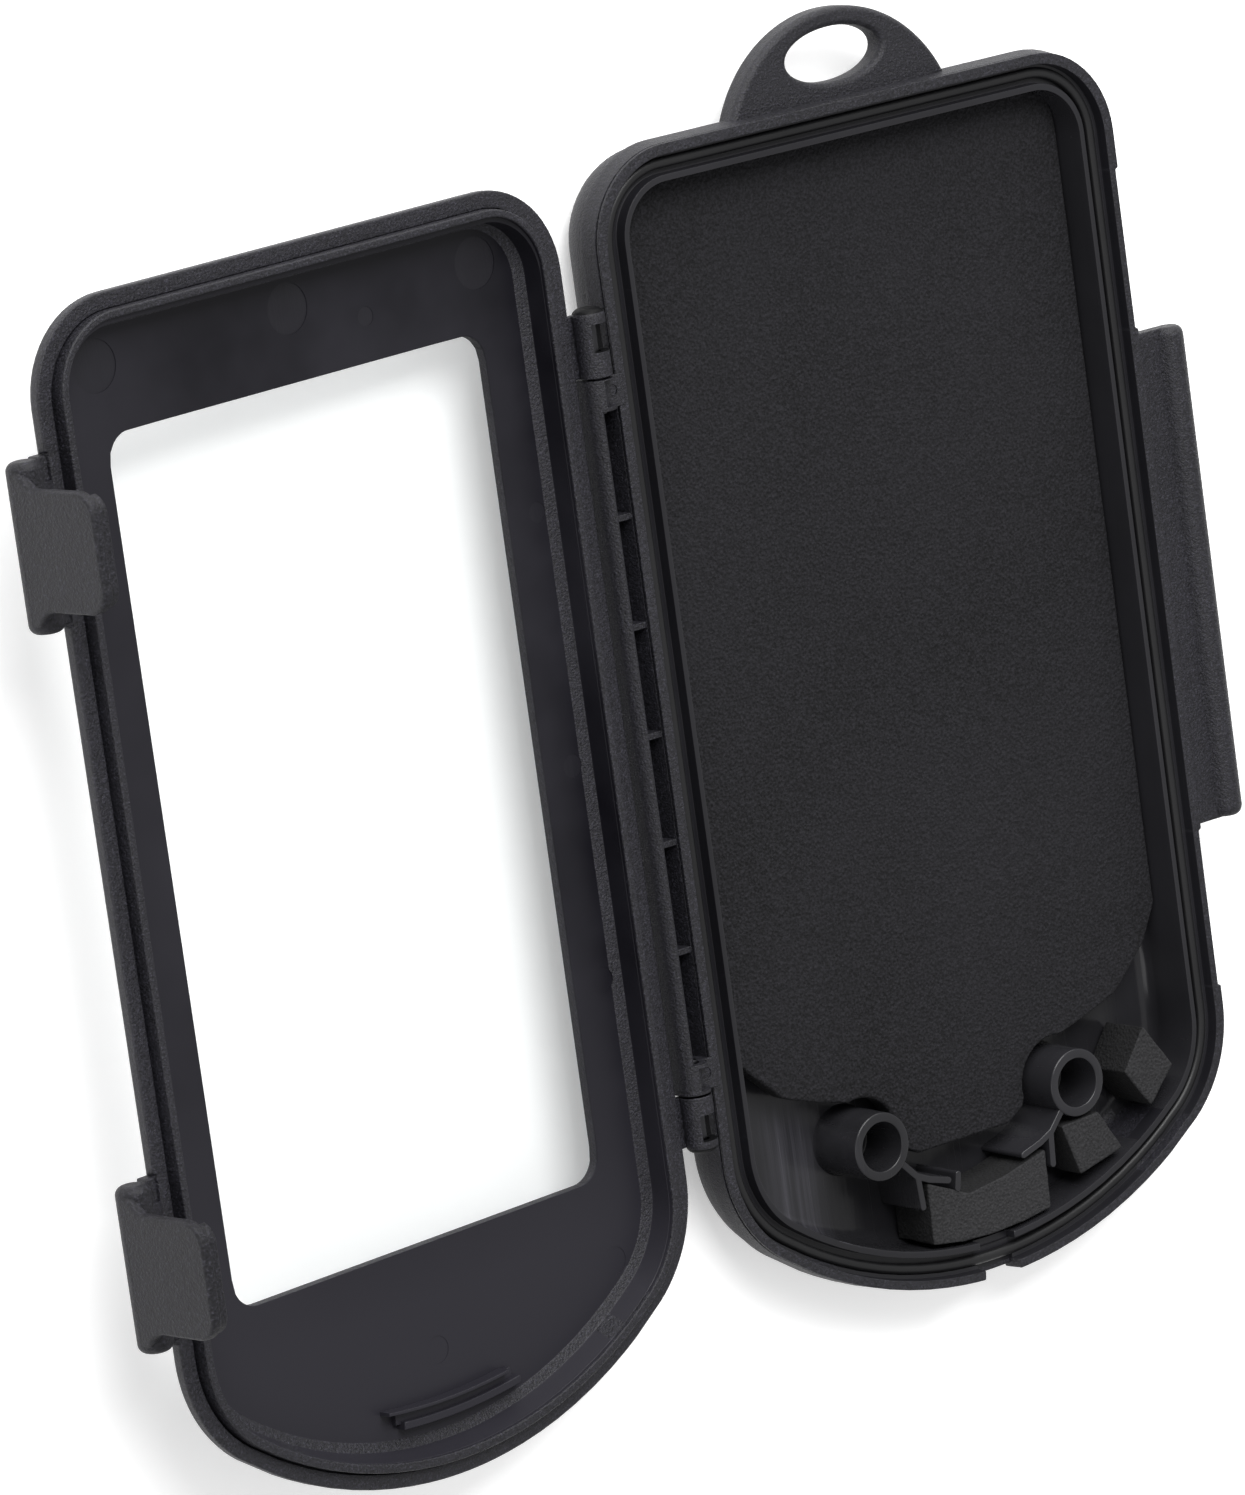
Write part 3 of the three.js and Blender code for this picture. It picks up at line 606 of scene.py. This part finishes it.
def guard_bar():
    def profile(r, w, top):
        rise = arc(BAR_CX - r * 0.98, top + 0.55, 0.55, -PI / 2, -0.75, 5)[::-1]
        return ([(46.45, BAR_CZ - w), (BAR_CX - r * 0.6, BAR_CZ - w)]
                + arc(BAR_CX, BAR_CZ, r, -2.0, 2.62, 30)
                + rise[-1:] + [(46.45, top)])
    rings = []
    for k in range(9):
        a = PI / 2 * k / 8
        r = BAR_R - 1.1 * (1 - math.sin(a))
        rings.append((BAR_Y0 + 1.5 * (1 - math.cos(a)), r, 1.6 - 0.3 * (1 - math.sin(a)),
                      BAR_WEB - 0.25 * (1 - math.sin(a))))
    rings += [(BAR_Y0 + BAR_Y1 - y, r, w, t) for y, r, w, t in rings[::-1]]
    return ring_mesh("guard_bar", [[(x, y, z) for x, z in profile(r, w, t)] for y, r, w, t in rings])


def rail():
    low, web = RIM - 5.0, RIM - 3.6
    x, z, r = HINGE_X, HINGE_Z, HINGE_R
    top = z + r * 0.8
    strip = ([(-46.4, low), (-46.4, web), (RAIL_IN + 0.25, web), (RAIL_IN, web + 0.25), (RAIL_IN, top - 0.3)]
             + arc(RAIL_IN - 0.3, top - 0.3, 0.3, 0, PI / 3, 3)
             + arc(x, z, r, PI * 0.68, PI, 10) + [(x - r, low + 1.2)]
             + arc(x - r + 0.9, low + 0.9, 0.9, PI, PI * 1.5, 6))
    body = slab("rail", strip, RAIL_Y0, RAIL_Y1, 0.15, 0.15, 2, "Y")
    for i, y in enumerate(RIB_Y):
        add(body, block(f"rib{i}", -51.5, RAIL_ROOT, y - 0.45, y + 0.45, web - 0.3, RIM - 0.75, 0.1))
    for y0, y1 in ((SLOT_Y1, RAIL_Y1), (RAIL_Y0, SLOT_Y0)):
        drum = [(r - 0.18, y0), (r - 0.05, y0 + 0.05), (r, y0 + 0.18),
                (r, y1 - 0.18), (r - 0.05, y1 - 0.05), (r - 0.18, y1)]
        shelf = block("shelf", x + 1.25, RAIL_ROOT, y0, y1, web - 0.3, RIM + 0.15, 0.15)
        add(body, turned("drum", drum, (x, z), "Y"), shelf)
        away = rounded([(-49.35, RIM + 0.15), (-50.35, RIM + 1.35), (-51.25, RIM + 1.9), (-51.3, RIM + 4),
                        (-47.9, RIM + 4), (-47.9, RIM + 0.15)], [0.3, 0.3, 0.0, 0, 0, 0], 4)
        cut(body, slab("away", away, y0 + 0.55, y1 - 0.15 if y0 > 0 else y1 - 0.55, 0, 0, 1, "Y"))
        mid = (y0 + y1) / 2 + 0.15
        cut(body, turned("mark", [(0.85, RIM + 0.02), (0.95, RIM + 1)], (-48.55, mid), "Z", 32))
    bores = [turned("bore", [(HINGE_BORE, a), (HINGE_BORE, b)], (x, z), "Y", 24)
             for a, b in ((SLOT_Y1 - 1, RAIL_Y1 + 1), (RAIL_Y0 - 1, SLOT_Y0 + 1))]
    return cut(body, *bores)


def capsule(ax, ay, bx, by, t):
    a = math.atan2(by - ay, bx - ax)
    return arc(bx, by, t / 2, a - PI / 2, a + PI / 2, 8) + arc(ax, ay, t / 2, a + PI / 2, a + PI * 1.5, 8)


def posts():
    out = []
    for s in (-1, 1):
        top = BOSS_TOP
        prof = [(5.35, 1.5), (5.3, 2.0), (5.05, 2.6)]
        prof += [(BOSS_R - d, top - h) for d, h in bevel_steps(0.28, 3)[::-1]]
        prof += [(BOSS_BORE + d, top - h) for d, h in bevel_steps(0.22, 3)]
        prof += [(BOSS_BORE - 0.08, top - 7.9), (BOSS_BORE - 0.5, top - 8.1)]
        out.append(turned("post", prof, (s * BOSS_X, BOSS_Y), "Z", 64))
        rib_top = top - 0.2
        runs = [(BOSS_X - 3.2, BOSS_Y - 3.2, 12.9, -68.2), (12.9, -68.2, 10.6, -69.3), (10.6, -69.3, 7.2, -70.3),
                (12.7, -68.3, 12.4, -73.0)] + ([(5.3, -69.9, 5.7, -71.9)] if s < 0 else [])
        for ax, ay, bx, by in runs:
            out.append(slab("web", capsule(s * ax, ay, s * bx, by, 1.0), FLOOR_Z - 0.5, rib_top, 0, 0.16, 3))
    return out


def base_shell():
    ob = ring_mesh("base_shell_skin", base_rings())
    add(ob, eye_tab(), guard_bar(), rail())
    add(ob, *[block("keeper", 43, 47.1, y - 8, y + 8, 0.0, 5.0, 0.3) for y in LATCH_Y])
    # the posts stand on the tray floor; their bores are part of their turned profile
    for s in (-1, 1):
        cut(ob, turned("seat", [(4.4, 1.7), (4.4, 2.6)], (s * BOSS_X, BOSS_Y), "Z", 48))
    add(ob, *posts())

    def pick(c, n):
        x, y, z = c
        if inside(LIP_IN, x, y, 0.12) and z > 1.9:
            return 2
        return 1 if z > 9.0 and inside(CHANNEL, x, y, 0.05) else 0
    return dress(ob, "tray", [SHELL, RIM_SATIN, TRAY], pick, replaces=["base_shell"])


def inside(s, x, y, slack=0.0):
    w, top, Rb = s["hw"] + slack, s["top"] + slack, s["Rb"] + slack
    if abs(x) > w or y > top or math.hypot(x, y - (s["bot"] + s["Rb"])) > Rb and y < -57:
        return False
    dx, dy = abs(x) - (s["hw"] - s["rt"]), y - (s["top"] - s["rt"])
    if dx > 0 and dy > 0:
        return math.hypot(dx, dy) < s["rt"] + slack
    yc = s["bot"] + s["Rb"] - math.sqrt((s["Rb"] - s["rb"]) ** 2 - (s["hw"] - s["rb"]) ** 2)
    dx, dy = abs(x) - (s["hw"] - s["rb"]), yc - y
    if dx > 0 and dy > 0:
        return math.hypot(dx, dy) < s["rb"] + slack
    return True


def gasket():
    z0, z1 = RIM - 2.3, RIM - BEAD_DROP
    half = BEAD_W / 2
    prof = [(-half + 0.05, z0), (-half, z0 + 0.1), (-half, z1 - 0.62)]
    prof += [(-half * math.cos(PI * k / 12), z1 - 0.62 + 0.62 * math.sin(PI * k / 12)) for k in range(1, 12)]
    prof += [(half, z1 - 0.62), (half, z0 + 0.1), (half - 0.05, z0)]
    rings = [[(x, y, z) for x, y in outline(BEAD, d)] for d, z in prof]
    ob = ring_mesh("rim_seal", rings, closed=True)
    return dress(ob, "tray", [SEAL], replaces=["rim_gasket"])


# ---- foam
def split_edges(loop, step):
    """The loop with each edge cut into equal parts about step long."""
    fine = []
    for a, b in zip(loop, loop[1:] + loop[:1]):
        m = max(1, round(math.dist(a, b) / step))
        fine += [(a[0] + (b[0] - a[0]) * k / m, a[1] + (b[1] - a[1]) * k / m) for k in range(m)]
    return fine


def foam_sheet():
    around = arc(BOSS_X, BOSS_Y, 6.6, PI * 1.05, PI * 0.42, 10)
    right = [(8.6, -66.4), (11.6, -64.6)] + around + [(25.0, -54.6), (31.6, -52.4), (38.0, -46.4), (41.0, -41.0)]
    pts = [(-x, y) for x, y in right[::-1]] + right + [(41.0, 81.2), (-41.0, 81.2)]
    side = [1.6, 0.8] + [0] * 11 + [1.6, 5.0, 3.0, 2.5]
    radii = side[::-1] + side + [6.5, 6.5]
    coarse = rounded(pts, radii, 6)
    fine = split_edges(coarse, 2.5)
    top = RIM - 5.0
    rings = []
    for d, z in ((3.0, FLOOR_Z + 0.05), (1.2, FLOOR_Z + 0.5), (0.25, FLOOR_Z + 1.6), (0.05, FLOOR_Z + 2.4),
                 (0, top - 0.6)):
        rings.append([(x, y, z) for x, y in inset(fine, d)])
    for d, h in bevel_steps(0.45, 4)[::-1]:
        rings.append([(x, y, top - h) for x, y in inset(fine, d)])
    for k in range(1, 26):
        q = 1 - k / 26.0
        rings.append([(x * q * 0.989, 10 + (y - 10) * q * 0.994, top) for x, y in fine])
    for ring in rings[4:]:
        for j, (x, y, z) in enumerate(ring):
            wide = 0.10 * noise.noise(Vector((x * 0.05, y * 0.05, 3)))
            lift = wide + 0.03 * noise.noise(Vector((x * 0.4, y * 0.4, 7)))
            ring[j] = (x, y, z + lift - 0.06)
    ob = ring_mesh("foam_sheet", rings)
    return dress(ob, "tray", [FOAM], replaces=["foam_pad"])


BLOCKS = (
    ("cable_foam", [(-11.3, -79.0), (-6, -79.9), (0, -80.2), (6, -79.9), (11.0, -79.2), (11.3, -70.5), (3.0, -72.4),
                    (-3.7, -73.2), (-11.1, -69.8)]),
    ("corner_foam_inner", [(14.8, -68.0), (17.4, -75.9), (25.8, -74.0), (22.0, -67.6)]),
    ("corner_foam_outer", [(27.9, -63.2), (32.2, -69.3), (37.2, -64.3), (32.4, -57.3)]),
)


def foam_blocks():
    for name, pts in BLOCKS:
        if area(pts) < 0:
            pts = pts[::-1]
        coarse = rounded(pts, 0.35, 3)
        fine = split_edges(coarse, 0.9)
        top = RIM - 0.85
        rows = [(0.1, FLOOR_Z + 0.9)] + [(0.12 * math.sin(k * 1.1), FLOOR_Z + 1.2 + k * 1.15) for k in range(6)]
        rows += [(d, top - h) for d, h in bevel_steps(0.3, 3)[::-1]]
        rings = [[(x, y, z) for x, y in inset(fine, max(d, 0))] for d, z in rows]
        ring = rings[-1]
        m = len(fine)
        for k in range(1, 9):
            q = 1 - k / 8.5
            mid = [((ring[i][0] + ring[-i - 1][0]) / 2, (ring[i][1] + ring[-i - 1][1]) / 2) for i in range(m)]
            spine = [tuple((mid[i][c] + mid[i - 1][c] + mid[(i + 1) % m][c]) / 3 for c in (0, 1)) for i in range(m)]
            rings.append([(sx + (x - sx) * q, sy + (y - sy) * q, top) for (x, y, z), (sx, sy) in zip(ring, spine)])
        for ring in rings:
            for j, (x, y, z) in enumerate(ring):
                w = 0.10 * noise.noise(Vector((x * 0.5, y * 0.5, z * 0.5 + len(name))))
                ring[j] = (x + w * 0.5, y + w * 0.5, z + (w if z > 9 else 0) - 0.05)
        ob = ring_mesh(name + "_cut", rings)
        # upward faces get the block foam, the sides its painted-shade copy
        dress(ob, "tray", [BLOCK, BLOCK_SIDE_SHADE], lambda c, n: 0 if n.z > 0.4 else 1, replaces=[name])


# ---- lid, drawn closed and swung open
def lid_rings():
    rows = [(CASE, d, z) for d, z in ((0.0, 1.3), (0.0, 0.34), (0.05, 0.15), (0.16, 0.04), (0.34, 0.0))]
    rows += [(GROOVE, d, z) for d, z in ((-0.22, 0.0), (-0.06, 0.04), (0.0, 0.16), (0.02, 0.88), (0.05, 1.0))]
    rows += [(TONGUE_OUT, d, z) for d, z in (
        (-0.06, 1.0), (-0.02, 0.88), (0.04, -1.1), (0.08, -1.26), (0.17, -1.36), (0.32, -1.4))]
    rows += [(TONGUE_IN, d, z) for d, z in ((-0.24, -1.4), (-0.1, -1.36), (-0.02, -1.26), (0.0, -1.1), (0.02, -0.72))]
    rows += [(LEDGE, d, z) for d, z in ((-0.06, -0.62), (-0.015, -0.58), (0.0, -0.46))]
    rows += [(WELL, d, z) for d, z in ((-0.03, 2.35), (0.02, 2.48), (0.12, 2.56))]
    rows += [(FACE, d, z) for d, z in ((-0.2, 2.98), (-0.06, 3.04), (0.02, 3.1), (0.1, LID_FACE))]
    rings = []
    for s, d, z in rows:
        ring = []
        moved = outline(CASE, d + RECESS) if s is CASE else None
        for i, (x, y) in enumerate(outline(s, d)):
            if moved and d < 0.4 and x > 40 and z < 1.0:
                x += (moved[i][0] - x) * max(edge_step(y, c) for c in LATCH_Y)
            ring.append((x, y, LZ + z))
        rings.append(ring)
    face = outline(FACE, 0.1)
    hw, y0, y1, r = WIN
    for grow, z in ((3.0, LID_FACE), (0.2, LID_FACE), (0.06, 3.21), (0.0, 3.35), (0.0, 4.75), (1.6, 4.75),
                    (1.6, 5.62), (1.64, 5.71), (1.75, LID_T)):
        rings.append([(x, y, LZ + z) for x, y in hug(face, hw, y0, y1, r, grow)])
    side = [(6.3, 5.75), (5.1, 5.48), (4.0, 5.1), (3.2, 4.68), (2.5, 4.2), (1.85, 3.65), (1.35, 3.1), (0.85, 2.6),
            (0.45, 2.1), (0.15, 1.7)]
    rings += [[(x, y, LZ + z) for x, y in outline(CASE, d)] for d, z in side]
    return rings


def press_rib(y, x0, x1, wide, top, e=0.14):
    R = 92.0
    a0, a1 = x0 / R - PI / 2, x1 / R - PI / 2
    path = arc(0, y + R, R + wide / 2, a0, a1, 20) + arc(0, y + R, R - wide / 2, a1, a0, 20)
    return slab("press", path, LZ + top, LZ + 3.6, e, 0, 3)


def knuckle(y0, y1):
    x, z, r = HINGE_X, HINGE_Z, HINGE_R
    up = y0 > 0
    near = [(r - 0.12, 0.0), (r, 0.12)]
    far = [(r - 1.25 * (1 - math.sin(PI / 2 * k / 7)), 1.25 * (1 - math.cos(PI / 2 * k / 7))) for k in range(8)]
    if up:
        prof = [(a, y0 + h) for a, h in near] + [(a, y1 - h) for a, h in far[::-1]]
    else:
        prof = [(a, y0 + h) for a, h in far] + [(a, y1 - h) for a, h in near[::-1]]
    drum = turned("knuckle", prof, (x, z), "Y", 56)
    a = y0 if up else y0 + 0.9
    b = y1 - 0.9 if up else y1
    return add(drum, block("web", x, -46.2, a, b, RIM + 1.0, RIM + 2.25, 0.2))


def ear(y):
    z = PIVOT_Z
    pts = [(46.2, z + 0.4)] + arc(PIVOT_X, z, 1.5, -2.2, 1.9, 20) + [(46.2, z + 2.6)]
    return slab("ear", pts, y - 1.5, y + 1.5, 0.15, 0.15, 2, "Y")


def lid_frame():
    ob = ring_mesh("lid_frame_skin", lid_rings(), closed=True)
    add(ob, press_rib(-76.9, -12.0, 10.0, 1.9, 2.3), press_rib(-75.9, -10.6, 12.0, 0.5, 1.1),
        press_rib(-78.0, -13.0, 9.2, 1.15, 1.5, 0.2))
    add(ob, *[block("pad", 46.0, 48.6, y - 11.4, y + 11.4, LZ + 0.5, LZ + 2.6, 0.3) for y in LATCH_Y])
    add(ob, *[ear(y + e) for y in LATCH_Y for e in EARS])
    add(ob, *[knuckle(k[0], k[1]) for k in KNUCKLES])
    tools = []
    for a, b, c, d in KNUCKLES:
        lo, hi = (a - 1, b - 1.4) if a > 0 else (a + 1.4, b + 1)
        tools.append(turned("bore", [(HINGE_BORE, lo), (HINGE_BORE, hi)], (HINGE_X, HINGE_Z), "Y", 24))
        tools.append(block("opening", -53.4, -49.4, c, d, HINGE_Z - 3, HINGE_Z + 0.4, 0.12))
    for y in LATCH_Y:
        tools.append(turned("bore", [(LATCH_BORE, y - 9), (LATCH_BORE, y + 9)], (PIVOT_X, PIVOT_Z), "Y", 24))
    marks = [(-34.5, 76.5, 3.7), (0.0, 77.2, 3.6), (34.5, 76.5, 3.7), (0.0, -69.4, 2.0),
             (-39.6, 40.3, 1.5), (-39.6, 4.1, 1.7), (-39.6, -26.8, 1.9), (-34.7, -66.3, 2.0), (-13.6, 73.3, 1.4)]
    for x, y, r in marks:
        deep = 0.10 if r > 3 else 0.06
        disc = [(r - 0.25, LZ + LID_FACE - 1.5), (r - 0.02, LZ + LID_FACE + deep)]
        tools.append(turned("mark", disc, (x, y), "Z", 48))
    cut(ob, *tools)

    def pick(c, n):
        x, y, z = c
        # the hinge bore walls take the painted-shade material
        if math.hypot(x - HINGE_X, z - HINGE_Z) < 2.2:
            return 3
        if z > LZ + 4.0 or z < LZ - 1.05 or not inside(TONGUE_IN, x, y, -0.01):
            return 0
        if z > LZ + 2.45 and not inside(FACE, x, y, -0.08):
            return 0
        if LZ + LID_FACE + 0.03 < z < LZ + LID_FACE + 0.2 and n.z < -0.9 and y > 0:
            return 2
        return 1
    return dress(ob, "lid", [LID_SPARK, LID_SATIN, LID_MARK, BORE_SHADE], pick, swing=True, replaces=["lid_frame"])


def window_film():
    hw, y0, y1, r = WIN
    g = 1.3
    pts = rounded([(-hw - g, y0 - g), (hw + g, y0 - g), (hw + g, y1 + g), (-hw - g, y1 + g)], r + g, 10)
    ob = slab("window_sheet", pts, LZ + 4.85, LZ + 5.45, 0.06, 0.06, 2)
    return dress(ob, "lid", [CLEAR], swing=True, replaces=["window_film"])


def latch(side, y, body):
    z = PIVOT_Z
    h, p, r = LATCH_HALF, PLATE_HALF, LATCH_R
    e = 1.3
    ends = [(r - e * (1 - math.sin(PI / 2 * k / 7)), y - h + e * (1 - math.cos(PI / 2 * k / 7))) for k in range(8)]
    ob = turned(f"latch_{side}_body", ends + [(q, 2 * y - t) for q, t in ends[::-1]], (PIVOT_X, z), "Y", 64)
    zE = LATCH_END
    curve = [(p, z - 5.2), (p, z - 4.4), (p + 0.25, z - 3.4), (p + 0.9, z - 2.5), (p + 1.9, z - 1.75),
             (h - 1.1, z - 1.1), (h - 1.1, z)]
    face = [(y + a, b) for a, b in curve]
    left = [(y - a, b) for a, b in curve[::-1]]
    corner = 3.4
    pts = (arc(y - p + corner, zE + corner, corner, PI, PI * 1.5, 8)
           + arc(y + p - corner, zE + corner, corner, -PI / 2, 0, 8) + face + left)
    plate = slab("plate", pts, PLATE_OUT - PLATE_T, PLATE_OUT, 0.3, 0.5, 4, "X")
    q = p - 0.5
    hook_pts = (arc(y - q + 2.8, zE + 0.3 + 2.8, 2.8, PI, PI * 1.5, 8)
                + arc(y + q - 2.8, zE + 0.3 + 2.8, 2.8, -PI / 2, 0, 8)
                + [(y + q, zE + 3.6), (y - q, zE + 3.6)])
    inner = PLATE_OUT - PLATE_T - HOOK
    hook = slab("hook", hook_pts, inner, PLATE_OUT - 0.9, 0.35, 0, 3, "X")
    cut(hook, block("relief", inner - 1, PLATE_OUT - PLATE_T, y - p - 1, y + p + 1, zE + 2.2, zE + 6, 0.3))
    add(ob, plate, hook)
    tools = []
    fan = [(PIVOT_X, z)] + arc(PIVOT_X, z, 7, PI * 0.27, PI * 1.37, 16)
    for ear_y in EARS:
        a, b = y + ear_y - 1.8, y + ear_y + 1.8
        tools.append(turned("slot", [(1.85, a), (1.85, b)], (PIVOT_X, z), "Y", 32))
        tools.append(slab("fan", fan, a, b, 0, 0, 1, "Y"))
    tools.append(turned("bore", [(LATCH_BORE, y - 10.2), (LATCH_BORE, y + 10.2)], (PIVOT_X, z), "Y", 24))
    cut(ob, *tools)
    return dress(ob, body, [LATCH], swing=True, replaces=[f"latch_{side}"])


def pins():
    for name, y0, y1 in (("hinge_pin_upper", SLOT_Y1 - 0.5, 65.2), ("hinge_pin_lower", -52.6, SLOT_Y0 + 0.5)):
        prof = [(0.7, y0), (0.86, y0 + 0.12), (0.9, y0 + 0.25), (0.9, y1 - 0.25), (0.86, y1 - 0.12), (0.7, y1)]
        dress(turned(name + "_rod", prof, (HINGE_X, HINGE_Z), "Y", 32), "tray", [STEEL], replaces=[name])
    for side, y in zip(("upper", "lower"), LATCH_Y):
        y0, y1 = y - 9.8, y + 9.8
        prof = [(0.62, y0), (0.77, y0 + 0.12), (0.8, y0 + 0.22), (0.8, y1 - 0.22), (0.77, y1 - 0.12), (0.62, y1)]
        dress(turned(f"latch_pin_{side}_rod", prof, (PIVOT_X, PIVOT_Z), "Y", 32), "lid", [STEEL], swing=True,
              replaces=[f"latch_pin_{side}"])


# ---- camera, floor and light
def camera():
    data = bpy.data.cameras.new("camera")
    data.sensor_fit = "VERTICAL"
    data.sensor_height = 36.0
    data.lens = 219.25
    data.clip_end = 20
    cam = bpy.data.objects.new("camera", data)
    right = Vector((0.7809, -0.1345, 0.6100)).normalized()
    back = Vector((-0.5821, 0.1977, 0.7887))
    back = (back - right * back.dot(right)).normalized()
    up = back.cross(right)
    at = Vector((-0.794518, 0.256380, 1.013863))
    cam.matrix_world = Matrix([[right[i], up[i], back[i], at[i]] for i in range(3)] + [[0, 0, 0, 1]])
    bpy.context.scene.collection.objects.link(cam)
    bpy.context.scene.camera = cam


def area_light(name, at, target, size, power, colour=(1, 1, 1)):
    data = bpy.data.lights.new(name, "AREA")
    data.shape = "RECTANGLE"
    data.size, data.size_y = size
    data.energy = power
    data.color = colour
    ob = bpy.data.objects.new(name, data)
    ob.location = at
    ob.rotation_euler = (Vector(target) - Vector(at)).to_track_quat("-Z", "Y").to_euler()
    bpy.context.scene.collection.objects.link(ob)


def stage():
    me = bpy.data.meshes.new("floor")
    me.from_pydata([(-4, -4, -0.0002), (4, -4, -0.0002), (4, 4, -0.0002), (-4, 4, -0.0002)], [], [(0, 1, 2, 3)])
    floor = bpy.data.objects.new("floor", me)
    bpy.context.scene.collection.objects.link(floor)
    mat, nt, bsdf, co = node_tree("floor_paper")
    tone = noise_of(nt, co, 6, 3, 0.5)
    nt.links.new(mixed(nt, tone, (0.88, 0.88, 0.88), (0.91, 0.91, 0.91)), bsdf.inputs["Base Color"])
    bsdf.inputs["Roughness"].default_value = 0.9
    nt.links.new(mixed(nt, tone, (0.98, 0.98, 0.98), (1.0, 1.0, 1.0)), bsdf.inputs["Emission Color"])
    bsdf.inputs["Emission Strength"].default_value = 0.34
    me.materials.append(mat)
    world = bpy.data.worlds.new("studio")
    world.use_nodes = True
    world.node_tree.nodes["Background"].inputs["Color"].default_value = (1, 1, 1, 1)
    world.node_tree.nodes["Background"].inputs["Strength"].default_value = 0.6
    bpy.context.scene.world = world
    area_light("key", (-0.25, 1.15, 1.25), (-0.05, 0, 0), (1.3, 1.0), 38)
    area_light("fill", (-1.3, -0.3, 0.9), (-0.05, 0, 0), (0.8, 0.8), 3)
    area_light("side", (0.25, 1.7, 0.4), (0, 0, 0.02), (2.2, 0.7), 16)
    bpy.context.scene.view_settings.view_transform = "Standard"


camera()
stage()
base_shell()
gasket()
foam_sheet()
foam_blocks()
lid_frame()
window_film()
latch("upper", LATCH_Y[0], "upper_latch")
latch("lower", LATCH_Y[1], "lower_latch")
pins()
